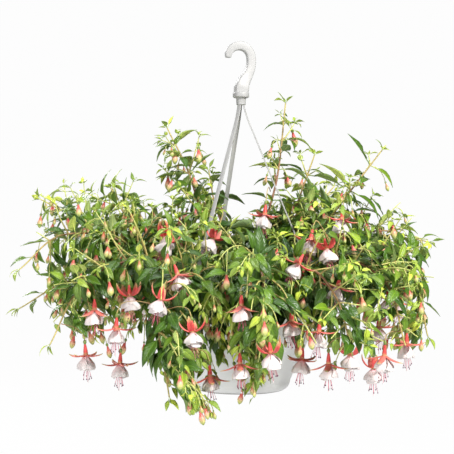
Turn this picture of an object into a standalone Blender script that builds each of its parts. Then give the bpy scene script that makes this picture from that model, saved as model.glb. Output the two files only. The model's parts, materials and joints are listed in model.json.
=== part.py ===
"""Fuchsia in a hanging bowl.

A white plastic bowl hangs from a one-piece hanger, which is a hook, a collar and three straps.
The bowl holds potting soil, and twenty leafy stems trail from it with flowers on long stalks.
Metres, +Z up. The origin is the seat of the hook, the place inside its crook that lies on a rail.
"""

import math

import bmesh
import bpy
from mathutils import Matrix, Vector
from mathutils.bvhtree import BVHTree

UP = Vector((0.0, 0.0, 1.0))
GAP = 0.0003

# Bowl: radii and heights of its outer face, and the sizes of its rim and base.
BASE_Z = -0.526
RIM_Z = -0.400
BASE_RADIUS = 0.060
BASE_ROUND = 0.016
WALL_TOP_RADIUS = 0.1265
RIM_RADIUS = 0.1370
RIM_THICKNESS = 0.0022
LIP_DROP = 0.007
WALL = 0.0020
FOOT_HEIGHT = 0.002
BOWL_STEPS = 32
DRAIN_RADIUS = 0.005
DRAIN_CIRCLE = 0.042
DRAIN_COUNT = 6

# Soil.
SOIL_Z = -0.412
SOIL_CLEARANCE = 0.0008

# Hanger: hook, collar, neck and straps.
HOOK_DEPTH_SHARE = 0.85
HOOK_CORNER_SHARE = 0.36
HOOK_TURN = 15.0
# The middle line of the hook from its tip over the crook and down the shank: (x, z, half-thickness).
HOOK_ROUTE = (
    (-0.0204, -0.0105, 0.0046),
    (-0.0200, -0.0050, 0.0054),
    (-0.0172, 0.0000, 0.0060),
    (-0.0126, 0.0038, 0.0064),
    (-0.0072, 0.0062, 0.0067),
    (-0.0012, 0.0069, 0.0069),
    (0.0050, 0.0055, 0.0069),
    (0.0103, 0.0018, 0.0068),
    (0.0142, -0.0038, 0.0067),
    (0.0160, -0.0105, 0.0067),
    (0.0163, -0.0180, 0.0068),
    (0.0155, -0.0255, 0.0070),
    (0.0132, -0.0325, 0.0074),
    (0.0092, -0.0405, 0.0080),
    (0.0040, -0.0490, 0.0097),
    (0.0012, -0.0565, 0.0107),
    (0.0004, -0.0625, 0.0105),
    (0.0000, -0.0700, 0.0104),
)
COLLAR_RADIUS = 0.0128
COLLAR_TOP_Z = -0.0650
COLLAR_HEIGHT = 0.0090
NECK_RADIUS = 0.0076
NECK_HEIGHT = 0.0110
STRAP_AZIMUTHS = (-8.0, -128.0, 112.0)
STRAP_WIDTH = 0.0068
STRAP_THICKNESS = 0.0017
STRAP_RADIUS = 0.1322
SLOT_LENGTH = 0.0095
SLOT_WIDTH = 0.0034
TOGGLE_LENGTH = 0.0125
TOGGLE_HEIGHT = 0.0035
TOGGLE_DEPTH = 0.0030

# Stems: (start on the soil, then three points that the stem passes, the last of them its tip).
STEMS = (
    ((-0.030, 0.010), (-0.045, 0.020, -0.330), (-0.078, 0.030, -0.200), (-0.116, 0.040, -0.118)),
    ((-0.055, -0.018), (-0.110, -0.020, -0.325), (-0.165, -0.030, -0.275), (-0.198, -0.040, -0.215)),
    ((-0.050, 0.022), (-0.130, 0.045, -0.310), (-0.240, 0.055, -0.270), (-0.318, 0.050, -0.230)),
    ((-0.062, -0.036), (-0.160, -0.080, -0.305), (-0.260, -0.110, -0.285), (-0.322, -0.130, -0.335)),
    ((-0.070, 0.030), (-0.170, 0.065, -0.335), (-0.275, 0.055, -0.360), (-0.348, 0.030, -0.402)),
    ((-0.048, -0.052), (-0.140, -0.140, -0.325), (-0.225, -0.170, -0.355), (-0.272, -0.175, -0.440)),
    ((-0.026, -0.066), (-0.085, -0.165, -0.345), (-0.115, -0.235, -0.400), (-0.100, -0.250, -0.505)),
    ((0.010, -0.070), (0.025, -0.165, -0.340), (0.030, -0.235, -0.360), (0.035, -0.275, -0.420)),
    ((0.018, 0.004), (0.026, 0.012, -0.310), (0.050, 0.016, -0.200), (0.066, 0.020, -0.085)),
    ((0.036, 0.020), (0.056, 0.032, -0.320), (0.088, 0.040, -0.240), (0.117, 0.045, -0.160)),
    ((0.050, 0.008), (0.092, 0.016, -0.325), (0.150, 0.010, -0.245), (0.218, -0.006, -0.155)),
    ((0.064, 0.016), (0.130, 0.030, -0.315), (0.215, 0.040, -0.280), (0.298, 0.040, -0.298)),
    ((0.070, -0.030), (0.160, -0.062, -0.315), (0.252, -0.090, -0.335), (0.290, -0.100, -0.435)),
    ((0.056, -0.050), (0.130, -0.130, -0.325), (0.200, -0.180, -0.350), (0.228, -0.195, -0.440)),
    ((0.034, -0.062), (0.088, -0.165, -0.335), (0.128, -0.225, -0.370), (0.150, -0.240, -0.450)),
    ((-0.036, 0.056), (-0.100, 0.150, -0.315), (-0.180, 0.205, -0.330), (-0.222, 0.230, -0.425)),
    ((0.002, 0.066), (0.000, 0.165, -0.310), (0.010, 0.245, -0.335), (0.002, 0.275, -0.440)),
    ((0.044, 0.052), (0.105, 0.150, -0.315), (0.180, 0.205, -0.330), (0.226, 0.220, -0.425)),
    ((-0.010, 0.036), (-0.022, 0.085, -0.300), (-0.042, 0.125, -0.235), (-0.052, 0.150, -0.180)),
    ((0.024, 0.044), (0.070, 0.100, -0.300), (0.118, 0.140, -0.255), (0.158, 0.165, -0.205)),
)
STEM_BASE_HALF = 0.0022
STEM_TIP_HALF = 0.0009
FIRST_NODE_AT = 0.045
NODE_SPACING = 0.050
NODE_SPACING_AT_TIP = 0.034
NODE_HEIGHT = 0.0022
BEND_STEP = 0.030
BASE_HEIGHT = 0.003

# Leaves: the length and half-width of the largest blade, and how a stem's leaves shrink towards its tip.
LEAF_LENGTH = 0.050
LEAF_HALF_WIDTH_SHARE = 0.24
LEAF_HALF_THICKNESS = 0.00035
PETIOLE = 0.010
PETIOLE_HALF = 0.0008
YOUNG_SHARE = 0.45
LEAF_DROOP = 0.30
CLEARANCE = 0.0016

# Flowers: each point is a flower's eye, where its sepals open, and then the way that it leans.
FLOWERS = (
    ((-0.113, -0.100, -0.288), (0.15, -0.10)), ((-0.082, -0.120, -0.282), (0.00, -0.10)),
    ((-0.042, -0.080, -0.291), (-0.45, -0.25)), ((-0.157, -0.200, -0.370), (0.10, -0.10)),
    ((-0.112, -0.220, -0.372), (-0.30, -0.15)), ((-0.208, -0.186, -0.390), (0.00, 0.00)),
    ((-0.175, -0.205, -0.414), (-0.05, 0.00)), ((-0.222, -0.170, -0.455), (0.08, 0.00)),
    ((-0.175, -0.150, -0.469), (-0.05, 0.00)), ((-0.068, -0.262, -0.415), (0.10, -0.20)),
    ((-0.090, -0.215, -0.340), (0.35, -0.20)), ((-0.045, -0.235, -0.478), (0.05, 0.00)),
    ((0.035, -0.060, -0.255), (-0.10, -0.15)), ((0.098, -0.155, -0.292), (-0.20, -0.20)),
    ((0.078, -0.200, -0.325), (-0.55, -0.25)), ((0.120, -0.165, -0.305), (0.20, -0.30)),
    ((0.134, -0.205, -0.357), (-0.35, -0.20)), ((-0.002, -0.260, -0.380), (0.05, -0.05)),
    ((0.066, -0.245, -0.402), (0.00, 0.00)), ((0.104, -0.235, -0.417), (-0.10, -0.05)),
    ((0.036, -0.290, -0.441), (0.10, 0.00)), ((-0.004, -0.265, -0.458), (0.05, -0.10)),
    ((0.194, -0.165, -0.415), (0.00, -0.05)), ((0.236, -0.150, -0.441), (0.00, 0.00)),
    ((0.196, -0.215, -0.452), (-0.05, 0.00)), ((0.150, -0.195, -0.453), (0.00, 0.00)),
    ((0.118, -0.225, -0.462), (0.00, 0.00)), ((0.083, -0.215, -0.458), (-0.10, 0.00)),
    ((0.186, -0.170, -0.474), (0.00, 0.00)), ((0.216, -0.100, -0.376), (0.00, 0.00)),
    ((0.151, -0.060, -0.262), (-0.10, -0.10)), ((-0.165, 0.190, -0.400), (0.00, 0.05)),
    ((-0.060, 0.230, -0.420), (0.00, 0.05)), ((0.060, 0.235, -0.410), (0.00, 0.05)),
    ((0.155, 0.180, -0.395), (0.00, 0.05)), ((-0.250, 0.090, -0.420), (0.00, 0.00)),
    ((0.255, 0.070, -0.395), (0.00, 0.00)),
)
STALK_HALF = 0.0006
STALK_SHARES = (0.0, 0.08, 0.35, 0.70)
NUDGES = (0.0, -0.010, 0.010, -0.020, 0.020, -0.030, 0.030, -0.045, 0.045)
# A flower's own profile: (height above the eye, half-width) from its ovary to the hem of its corolla.
CALYX = ((0.0210, 0.0007), (0.0185, 0.0018), (0.0145, 0.0015), (0.0022, 0.0030))
COROLLA = ((-0.0022, 0.0030), (-0.0100, 0.0092), (-0.0165, 0.0098))
STYLE = ((-0.0170, 0.0014), (-0.0400, 0.0008))
SEPAL_ROOT = 0.0030
SEPAL_LENGTH = 0.025
SEPAL_RISE = 0.22
SEPAL_TURN = 37.0
SEPAL_HALF_WIDTH = 0.0040
SEPAL_HALF_THICKNESS = 0.0004

COLOURS = {
    "white_plastic": ((0.83, 0.83, 0.81), 0.38),
    "bowl_plastic": ((0.72, 0.73, 0.72), 0.42),
    "soil": ((0.045, 0.030, 0.020), 0.95),
    "leaf": ((0.090, 0.200, 0.045), 0.50),
    "flower": ((0.780, 0.220, 0.190), 0.55),
}


def material(name):
    """The Principled material of that name, made on first use."""
    found = bpy.data.materials.get(name)
    if found:
        return found
    colour, roughness = COLOURS[name]
    made = bpy.data.materials.new(name)
    made.use_nodes = True
    shader = made.node_tree.nodes["Principled BSDF"]
    shader.inputs["Base Color"].default_value = (*colour, 1.0)
    shader.inputs["Roughness"].default_value = roughness
    shader.inputs["Metallic"].default_value = 0.0
    return made


def collection(name):
    made = bpy.data.collections.new(name)
    bpy.context.scene.collection.children.link(made)
    return made


def add_mesh(name, bm, where, finish=None):
    """Makes an object of a bmesh, in a collection, and frees the bmesh."""
    bmesh.ops.recalc_face_normals(bm, faces=bm.faces)
    mesh = bpy.data.meshes.new(name)
    bm.to_mesh(mesh)
    bm.free()
    made = bpy.data.objects.new(name, mesh)
    where.objects.link(made)
    if finish:
        mesh.materials.append(material(finish))
    return made


def as_helper(obj):
    """A cutter or a piece that a Boolean joins: not a node of its own."""
    obj.hide_render = True
    obj.display_type = "WIRE"
    return obj


def add_boolean(obj, other, operation):
    modifier = obj.modifiers.new(f"{operation.lower()}_{other.name}", "BOOLEAN")
    modifier.operation = operation
    modifier.solver = "EXACT"
    modifier.object = as_helper(other)


def turned(name, profile, steps, where, finish=None):
    """A closed turned shape from its section: up the inner side, over the top and down the outer side."""
    bm = bmesh.new()
    corners = [bm.verts.new((radius, 0.0, height)) for radius, height in profile]
    for first, second in zip(corners, corners[1:]):
        bm.edges.new((first, second))
    mesh = bpy.data.meshes.new(name)
    bm.to_mesh(mesh)
    bm.free()
    made = bpy.data.objects.new(name, mesh)
    where.objects.link(made)
    screw = made.modifiers.new("turn", "SCREW")
    screw.axis = "Z"
    screw.steps = screw.render_steps = steps
    screw.use_merge_vertices = True
    screw.merge_threshold = 0.00005
    if finish:
        mesh.materials.append(material(finish))
    return made


def arc(centre, radius, start, stop, count):
    """Points along an arc in the section plane, with angles in degrees."""
    angles = [math.radians(start + (stop - start) * i / count) for i in range(count + 1)]
    return [(centre[0] + radius * math.cos(a), centre[1] + radius * math.sin(a)) for a in angles]


def box(name, size, matrix, where):
    bm = bmesh.new()
    bmesh.ops.create_cube(bm, size=1.0, matrix=matrix @ Matrix.Diagonal((*size, 1.0)))
    return add_mesh(name, bm, where)


def cylinder(name, radius, low, high, centre, where, segments=24):
    bm = bmesh.new()
    at = Matrix.Translation((*centre, (low + high) / 2))
    bmesh.ops.create_cone(
        bm, cap_ends=True, segments=segments, radius1=radius, radius2=radius, depth=high - low, matrix=at
    )
    return add_mesh(name, bm, where)


def matched(corners, targets):
    """The targets in the order that follows these corners with the least twist."""
    count = len(corners)

    def twist(shift):
        return sum((corners[i] - targets[(i + shift) % count]).length for i in range(count))

    shift = min(range(count), key=twist)
    return [targets[(i + shift) % count] for i in range(count)]


def extrude_to(bm, face, targets):
    """Extrudes a face onto as many corners as it has."""
    grown = bmesh.ops.extrude_discrete_faces(bm, faces=[face])["faces"][0]
    verts = [loop.vert for loop in grown.loops]
    for vert, target in zip(verts, matched([vert.co.copy() for vert in verts], targets)):
        vert.co = target
    return grown


# Bowl and soil


def wall_radius(height):
    """Outer radius of the straight flared wall at a height."""
    low = (BASE_RADIUS + BASE_ROUND, BASE_Z + BASE_ROUND)
    share = (height - low[1]) / (RIM_Z - low[1])
    return low[0] + share * (WALL_TOP_RADIUS - low[0])


def make_bowl(parts, cutters):
    floor_z = BASE_Z + FOOT_HEIGHT + WALL
    inner_round = BASE_ROUND - WALL
    round_centre = (BASE_RADIUS, BASE_Z + BASE_ROUND)
    inner = arc(round_centre, inner_round, -90, 0, 3)
    inside = [(0.0, floor_z), (BASE_RADIUS - 0.004, floor_z)] + inner[1:]
    inside.append((WALL_TOP_RADIUS - WALL, RIM_Z - RIM_THICKNESS - 0.004))
    rim = [
        (WALL_TOP_RADIUS - WALL, RIM_Z),
        (RIM_RADIUS - 0.001, RIM_Z),
        (RIM_RADIUS, RIM_Z - 0.001),
        (RIM_RADIUS, RIM_Z - LIP_DROP),
        (RIM_RADIUS - 0.0015, RIM_Z - LIP_DROP),
        (RIM_RADIUS - 0.0015, RIM_Z - RIM_THICKNESS),
        (WALL_TOP_RADIUS, RIM_Z - RIM_THICKNESS),
    ]
    outside = arc(round_centre, BASE_ROUND, 0, -90, 5)
    foot = [(BASE_RADIUS - 0.006, BASE_Z), (BASE_RADIUS - 0.008, BASE_Z + FOOT_HEIGHT), (0.0, BASE_Z + FOOT_HEIGHT)]
    bowl = turned("bowl", inside + rim + outside + foot, BOWL_STEPS, parts, "bowl_plastic")
    for i in range(DRAIN_COUNT):
        angle = 2 * math.pi * (i + 0.43) / DRAIN_COUNT
        centre = (DRAIN_CIRCLE * math.cos(angle), DRAIN_CIRCLE * math.sin(angle))
        hole = cylinder(f"drain_{i + 1}", DRAIN_RADIUS, BASE_Z - 0.002, floor_z + 0.002, centre, cutters, 12)
        add_boolean(bowl, hole, "DIFFERENCE")
    for i, azimuth in enumerate(STRAP_AZIMUTHS):
        turn = Matrix.Rotation(math.radians(azimuth), 4, "Z")
        at = turn @ Matrix.Translation((STRAP_RADIUS, 0.0, RIM_Z - RIM_THICKNESS / 2))
        slot = box(f"strap_slot_{i + 1}", (SLOT_WIDTH, SLOT_LENGTH, 3 * RIM_THICKNESS), at, cutters)
        add_boolean(bowl, slot, "DIFFERENCE")
    return bowl


def make_soil(parts):
    floor_z = BASE_Z + FOOT_HEIGHT + WALL + SOIL_CLEARANCE
    wall_low = BASE_Z + BASE_ROUND

    def radius(height):
        return wall_radius(height) - WALL - 2 * SOIL_CLEARANCE

    profile = [
        (0.0, SOIL_Z + 0.004),
        (0.060, SOIL_Z + 0.0025),
        (radius(SOIL_Z) - 0.006, SOIL_Z),
        (radius(SOIL_Z), SOIL_Z - 0.003),
        (radius(wall_low), wall_low),
        (BASE_RADIUS + 0.002, floor_z + 0.003),
        (BASE_RADIUS - 0.006, floor_z),
        (0.0, floor_z),
    ]
    return turned("soil", profile, 24, parts, "soil")


def soil_height(x, y):
    """Height of the soil's slightly domed top under a point."""
    away = math.hypot(x, y)
    if away < 0.060:
        return SOIL_Z + 0.004 - 0.0015 * away / 0.060
    rim = wall_radius(SOIL_Z) - WALL - 2 * SOIL_CLEARANCE - 0.006
    return SOIL_Z + 0.0025 * (rim - away) / (rim - 0.060)


# Hanger


def hook_section(point, along, half):
    """Eight corners of the hook's section, a rectangle with cut corners, square to the way it runs."""
    across = Vector((along.z, 0.0, -along.x))
    deep = Vector((0.0, 1.0, 0.0))
    thick = half * HOOK_DEPTH_SHARE
    cut = HOOK_CORNER_SHARE * half
    corners = []
    for a, b in ((1, 1), (-1, 1), (-1, -1), (1, -1)):
        ends = ((a * half, b * (thick - cut)), (a * (half - cut), b * thick))
        if a * b < 0:
            ends = ends[::-1]
        corners += [point + across * u + deep * v for u, v in ends]
    return corners


def make_hook(helpers):
    """The crook and its shank, thicker towards the collar, turned a little about the upright."""
    points = [Vector((x, 0.0, z)) for x, z, _ in HOOK_ROUTE]
    halves = [half for _, _, half in HOOK_ROUTE]
    ways = []
    for i, point in enumerate(points):
        ways.append((points[min(i + 1, len(points) - 1)] - points[max(i - 1, 0)]).normalized())
    bm = bmesh.new()
    end = bm.faces.new([bm.verts.new(corner) for corner in hook_section(points[0], ways[0], halves[0])])
    for point, way, half in zip(points[1:], ways[1:], halves[1:]):
        end = extrude_to(bm, end, hook_section(point, way, half))
    bmesh.ops.holes_fill(bm, edges=[edge for edge in bm.edges if edge.is_boundary])
    bmesh.ops.rotate(bm, matrix=Matrix.Rotation(math.radians(HOOK_TURN), 3, "Z"), verts=bm.verts)
    return add_mesh("hook", bm, helpers)


def strap_route():
    """(radius, height) along a strap: out of the neck, round its bend, straight to the rim and down the slot."""
    neck_z = COLLAR_TOP_Z - COLLAR_HEIGHT
    bend = [(0.0046, neck_z - 0.004), (0.0047, neck_z - 0.013), (0.0080, neck_z - 0.026)]
    bend += [(0.0135, neck_z - 0.041), (0.0215, neck_z - 0.060)]
    rim = [(0.1270, RIM_Z + 0.0110), (0.1308, RIM_Z + 0.0040), (STRAP_RADIUS, RIM_Z - 0.0010)]
    return bend + rim + [(STRAP_RADIUS, RIM_Z - RIM_THICKNESS - 0.0040)]


def make_strap(index, azimuth, helpers):
    """A flat strip along the route, given its thickness by Solidify."""
    bm = bmesh.new()
    corners = [bm.verts.new((radius, -STRAP_WIDTH / 2, height)) for radius, height in strap_route()]
    edges = [bm.edges.new(pair) for pair in zip(corners, corners[1:])]
    wide = bmesh.ops.extrude_edge_only(bm, edges=edges)["geom"]
    moved = [item for item in wide if isinstance(item, bmesh.types.BMVert)]
    bmesh.ops.translate(bm, vec=(0.0, STRAP_WIDTH, 0.0), verts=moved)
    bmesh.ops.rotate(bm, matrix=Matrix.Rotation(math.radians(azimuth), 3, "Z"), verts=bm.verts)
    strap = add_mesh(f"strap_{index}", bm, helpers)
    thick = strap.modifiers.new("thickness", "SOLIDIFY")
    thick.thickness = STRAP_THICKNESS
    thick.offset = 0.0
    return strap


def make_hanger(parts, helpers):
    neck_z = COLLAR_TOP_Z - COLLAR_HEIGHT
    edge = 0.0022
    collar = [
        (0.0, COLLAR_TOP_Z),
        (COLLAR_RADIUS - edge, COLLAR_TOP_Z),
        (COLLAR_RADIUS, COLLAR_TOP_Z - edge),
        (COLLAR_RADIUS, neck_z + edge),
        (COLLAR_RADIUS - edge, neck_z),
        (NECK_RADIUS, neck_z),
        (NECK_RADIUS - 0.0004, neck_z - NECK_HEIGHT),
        (0.0, neck_z - NECK_HEIGHT),
    ]
    hanger = turned("hanger", collar, 24, parts, "white_plastic")
    add_boolean(hanger, make_hook(helpers), "UNION")
    for i, azimuth in enumerate(STRAP_AZIMUTHS):
        add_boolean(hanger, make_strap(i + 1, azimuth, helpers), "UNION")
        turn = Matrix.Rotation(math.radians(azimuth), 4, "Z")
        drop = RIM_Z - RIM_THICKNESS - 0.0022 - TOGGLE_HEIGHT / 2
        at = turn @ Matrix.Translation((STRAP_RADIUS, 0.0, drop))
        toggle = box(f"toggle_{i + 1}", (TOGGLE_DEPTH, TOGGLE_LENGTH, TOGGLE_HEIGHT), at, helpers)
        add_boolean(hanger, toggle, "UNION")
    return hanger


# Growing shapes: a small box whose end face is extruded again and again


def corners_at(centre, wide, deep, half_wide, half_deep):
    """Four corners of a section, anticlockwise about wide x deep."""
    signs = ((1, 1), (-1, 1), (-1, -1), (1, -1))
    return [centre + wide * (half_wide * a) + deep * (half_deep * b) for a, b in signs]


def start_box(bm, centre, along, wide, half, length):
    """A box that stands on centre and points along, and its far face."""
    deep = along.cross(wide).normalized()
    turn = Matrix((wide, deep, along)).transposed().to_4x4()
    at = Matrix.Translation(centre + along * (length / 2)) @ turn
    made = bmesh.ops.create_cube(bm, size=1.0, matrix=at @ Matrix.Diagonal((2 * half, 2 * half, length, 1.0)))
    faces = {face for vert in made["verts"] for face in vert.link_faces}
    for face in faces:
        face.normal_update()
    return max(faces, key=lambda face: face.normal.dot(along))


def side_faces(face):
    """The four faces round the stretch that ends in this face."""
    found = [other for edge in face.edges for other in edge.link_faces if other is not face]
    for other in found:
        other.normal_update()
    return found


def tree_of(sections):
    """A search tree of the skin between sections, to test for touching."""
    rings = [sections[0]]
    for section in sections[1:]:
        rings.append(matched(rings[-1], section))
    points = [corner for ring in rings for corner in ring]
    faces = [(0, 1, 2, 3), tuple(range(len(points) - 4, len(points)))]
    for start in range(0, len(points) - 4, 4):
        faces += [(start + i, start + (i + 1) % 4, start + 4 + (i + 1) % 4, start + 4 + i) for i in range(4)]
    return BVHTree.FromPolygons(points, faces)


def tree_of_object(obj):
    graph = bpy.context.evaluated_depsgraph_get()
    return BVHTree.FromObject(obj, graph)


# Stems and leaves


def spline_points(knots, step):
    """Points every step along a smooth curve through the knots, each with its distance from the start."""
    padded = [2 * knots[0] - knots[1], *knots, 2 * knots[-1] - knots[-2]]
    fine = []
    for a, b, c, d in zip(padded, padded[1:], padded[2:], padded[3:]):
        for i in range(24):
            t = i / 24
            fine.append(
                0.5 * (2 * b + (c - a) * t + (2 * a - 5 * b + 4 * c - d) * t**2 + (3 * b - a - 3 * c + d) * t**3)
            )
    fine.append(knots[-1])
    length = sum((q - p).length for p, q in zip(fine, fine[1:]))
    count = max(2, round(length / step))
    wanted = [length * i / count for i in range(count + 1)]
    found, travelled, here = [], 0.0, 0
    for distance in wanted:
        while here < len(fine) - 2 and travelled + (fine[here + 1] - fine[here]).length < distance:
            travelled += (fine[here + 1] - fine[here]).length
            here += 1
        reach = (fine[here + 1] - fine[here]).length
        found.append((distance, fine[here].lerp(fine[here + 1], min(1.0, (distance - travelled) / reach))))
    return found


class Stem:
    """One stem's route with a frame at each place on it, and the places of its leaf pairs."""

    def __init__(self, start, *passes):
        foot = Vector((*start, soil_height(*start) + 3 * GAP))
        self.line = spline_points([foot, *map(Vector, passes)], 0.003)
        self.length = self.line[-1][0]
        outward = Vector(passes[-1]) - foot
        self.first_side = UP.cross(Vector((outward.x, outward.y, 0.0))).normalized()
        self.nodes = self.node_places()

    def node_places(self):
        places, at = [], FIRST_NODE_AT
        while at < self.length - 0.012:
            places.append(at)
            share = at / self.length
            at += NODE_SPACING + (NODE_SPACING_AT_TIP - NODE_SPACING) * share
        return [*places, self.length - 0.004]

    def at(self, distance):
        """(point, direction, side) at a distance along the stem."""
        index = min(len(self.line) - 2, max(0, int(distance / self.length * (len(self.line) - 1))))
        (d0, p0), (d1, p1) = self.line[index], self.line[index + 1]
        along = (p1 - p0).normalized()
        side = (self.first_side - along * self.first_side.dot(along)).normalized()
        return p0.lerp(p1, (distance - d0) / (d1 - d0)), along, side

    def half(self, distance):
        return STEM_BASE_HALF + (STEM_TIP_HALF - STEM_BASE_HALF) * distance / self.length

    def section(self, distance):
        point, along, side = self.at(distance)
        half = self.half(distance)
        return corners_at(point, side, along.cross(side), half, half)

    def stops(self):
        """Distances where the stem has a section, and whether a leaf pair grows below that section."""
        found, last = [], 0.004
        for node in self.nodes:
            gaps = max(1, round((node - last) / BEND_STEP))
            found += [(last + (node - last) * (i + 1) / gaps, False) for i in range(gaps)]
            found.append((node + NODE_HEIGHT, True))
            last = node + NODE_HEIGHT
        return found

    def rings(self):
        """Every section: two level ones for the upright base, then one at each stop."""
        side, foot = self.first_side, self.line[0][1]
        base = [foot, foot + UP * BASE_HEIGHT]
        level = [corners_at(point, side, UP.cross(side), STEM_BASE_HALF, STEM_BASE_HALF) for point in base]
        return level + [self.section(distance) for distance, _ in self.stops()]

    def straight(self, distance):
        """(point, direction) on the straight stretch between the stops on either side of a distance."""
        cuts = [cut for cut, _ in self.stops()]
        last = max(1, min(len(cuts) - 1, sum(cut < distance for cut in cuts)))
        before, after = self.at(cuts[last - 1])[0], self.at(cuts[last])[0]
        share = (distance - cuts[last - 1]) / (cuts[last] - cuts[last - 1])
        return before.lerp(after, share), (after - before).normalized()


def leaf_sections(stem, distance, outward, lift, size):
    """Sections of a leaf: its stalk's start and end, then the blade's widest place and tip."""
    point, along, _ = stem.at(distance)
    length = LEAF_LENGTH * size
    aim = (outward + along * 0.55 + UP * lift).normalized()
    start = point + outward * stem.half(distance)
    joint = start + aim * PETIOLE * (0.4 + 0.6 * size)
    rows = ((0.0, PETIOLE_HALF), (0.42, LEAF_HALF_WIDTH_SHARE * length), (1.0, PETIOLE_HALF))
    side = aim.cross(UP).normalized()
    sections = [corners_at(start + outward * 0.0012, side, side.cross(aim), PETIOLE_HALF, PETIOLE_HALF)]
    centre = joint
    before = 0.0
    for share, half_width in rows:
        bent = (aim - UP * LEAF_DROOP * (share + before)).normalized()
        centre = centre + bent * length * (share - before)
        deep = (UP - bent * UP.dot(bent)).normalized()
        sections.append(corners_at(centre, deep.cross(bent), deep, half_width, LEAF_HALF_THICKNESS))
        before = share
    return sections


def thicker(sections, by):
    """The same sections grown all round by a clearance, for the touching test."""
    grown = []
    for a, b, c, d in sections:
        wide = (a - b).normalized() * by
        deep = (b - c).normalized() * by
        grown.append([a + wide + deep, b - wide + deep, c - wide - deep, d + wide - deep])
    return grown


def is_free(sections, others):
    tree = tree_of(thicker(sections, CLEARANCE))
    centre = sum((corner for section in sections for corner in section), Vector()) / (4 * len(sections))
    reach = max((corner - centre).length for section in sections for corner in section) + CLEARANCE
    for other, middle, extent in others:
        if middle is not None and (middle - centre).length > reach + extent:
            continue
        if tree.overlap(other):
            return False
    return True


def entry(sections):
    """A placed shape as is_free reads it: its tree, centre and reach."""
    corners = [corner for section in sections for corner in section]
    centre = sum(corners, Vector()) / len(corners)
    return tree_of(sections), centre, max((corner - centre).length for corner in corners)


def grow_leaf(bm, face, stem, distance, size, others):
    """Grows a leaf out of a side face at the first lift that leaves it clear of everything placed."""
    outward = face.normal.copy()
    for lift in (0.15, -0.25, 0.55, -0.60, 0.90):
        for share in (1.0, 0.8):
            sections = leaf_sections(stem, distance, outward, lift, size * share)
            if is_free(sections, others):
                for section in sections[1:]:
                    face = extrude_to(bm, face, section)
                return entry(sections)
    return None


def make_stem(index, stem, parts, obstacles, leaves):
    """A stem with its leaf pairs, each pair a quarter turn from the last."""
    bm = bmesh.new()
    end = start_box(bm, stem.line[0][1], UP, stem.first_side, STEM_BASE_HALF, BASE_HEIGHT)
    placed = []
    for number, (distance, is_node) in enumerate(stem.stops()):
        end = extrude_to(bm, end, stem.section(distance))
        if not is_node:
            continue
        around = side_faces(end)
        _, along, side = stem.at(distance)
        axis = side if len(placed) % 2 == 0 else along.cross(side)
        pair = sorted(around, key=lambda face: -abs(face.normal.dot(axis)))[:2]
        placed.append(pair)
        size = 1.0 - (1.0 - YOUNG_SHARE) * (distance / stem.length) ** 1.5
        for face in pair:
            leaf = grow_leaf(bm, face, stem, distance, size, obstacles + leaves)
            if leaf:
                leaves.append(leaf)
    return add_mesh(f"leafy_stem_{index:02d}", bm, parts, "leaf")


# Flowers


def flower_axes(index, lean):
    """A flower's own axes: two across, turned a little more for each flower, and one down its style."""
    down = Vector((lean[0], lean[1], -1.0)).normalized()
    wide = down.cross(Vector((0.0, 1.0, 0.0))).normalized()
    wide.rotate(Matrix.Rotation(math.radians(SEPAL_TURN * index), 3, down))
    return wide, down.cross(wide), down


def body_sections(eye, axes):
    """Sections from the top of the ovary to the end of the style."""
    wide, deep, down = axes
    return [corners_at(eye - down * height, wide, deep, half, half) for height, half in CALYX + COROLLA + STYLE]


def sepal_sections(eye, down, outward):
    """Sections of one sepal: its root, its widest place and its tip."""
    side = down.cross(outward)
    sections = [corners_at(eye + outward * SEPAL_ROOT, side, down, 0.0022, 0.0014)]
    for share, half in ((0.45, SEPAL_HALF_WIDTH), (1.0, 0.0006)):
        centre = eye + outward * (SEPAL_ROOT + SEPAL_LENGTH * share) - down * (SEPAL_LENGTH * SEPAL_RISE * share)
        deep = (down + outward * SEPAL_RISE).normalized()
        sections.append(corners_at(centre, deep.cross(outward).normalized(), deep, half, SEPAL_HALF_THICKNESS))
    return sections


def stalk_sections(foot, outward, top, down):
    """Sections of the stalk that leaves the stem, arches and hangs to the flower."""
    bend = top - down * max(0.012, 0.45 * (foot - top).length)
    start = foot + outward * 0.002
    sections = []
    for t in STALK_SHARES:
        point = start * (1 - t) ** 2 + bend * 2 * t * (1 - t) + top * t**2
        along = ((bend - start) * (1 - t) + (top - bend) * t).normalized()
        wide = along.cross(Vector((0.31, 0.95, 0.05))).normalized()
        sections.append(corners_at(point, wide, along.cross(wide), STALK_HALF, STALK_HALF))
    return sections


def find_stalk(stems, body, down, others):
    """The clear stalk from the nearest stem: its foot, the way it leaves the stem, and its sections."""
    top = sum(body[0], Vector()) / 4
    choices = []
    for stem in stems:
        for distance, point in stem.line[10::3]:
            choices.append(((point - top).length - 0.3 * (point.z - top.z), stem, distance))
    for _, stem, distance in sorted(choices, key=lambda item: item[0])[:60]:
        point, along = stem.straight(distance)
        outward = top - point
        outward = (outward - along * outward.dot(along)).normalized()
        foot = point + outward * (stem.half(distance) * 1.42 + GAP)
        stalk = stalk_sections(foot, outward, top, down)
        if is_free([*stalk[1:], body[0]], others):
            return foot, outward, stalk
    return None


def place_flower(index, eye, lean, stems, others):
    """The first clear place for a flower, moved towards or away from the middle if it must be."""
    axes = flower_axes(index, lean)
    wide, deep, down = axes
    for nudge in NUDGES:
        at = Vector((eye[0], eye[1] + nudge, eye[2]))
        body = body_sections(at, axes)
        sepals = [sepal_sections(at, down, outward) for outward in (wide, deep, -wide, -deep)]
        if all(is_free(sections, others) for sections in [body, *sepals]):
            stalk = find_stalk(stems, body, down, others)
            if stalk:
                return body, sepals, stalk, (wide, deep, -wide, -deep)
    raise RuntimeError(f"flower {index} has no clear place")


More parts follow.
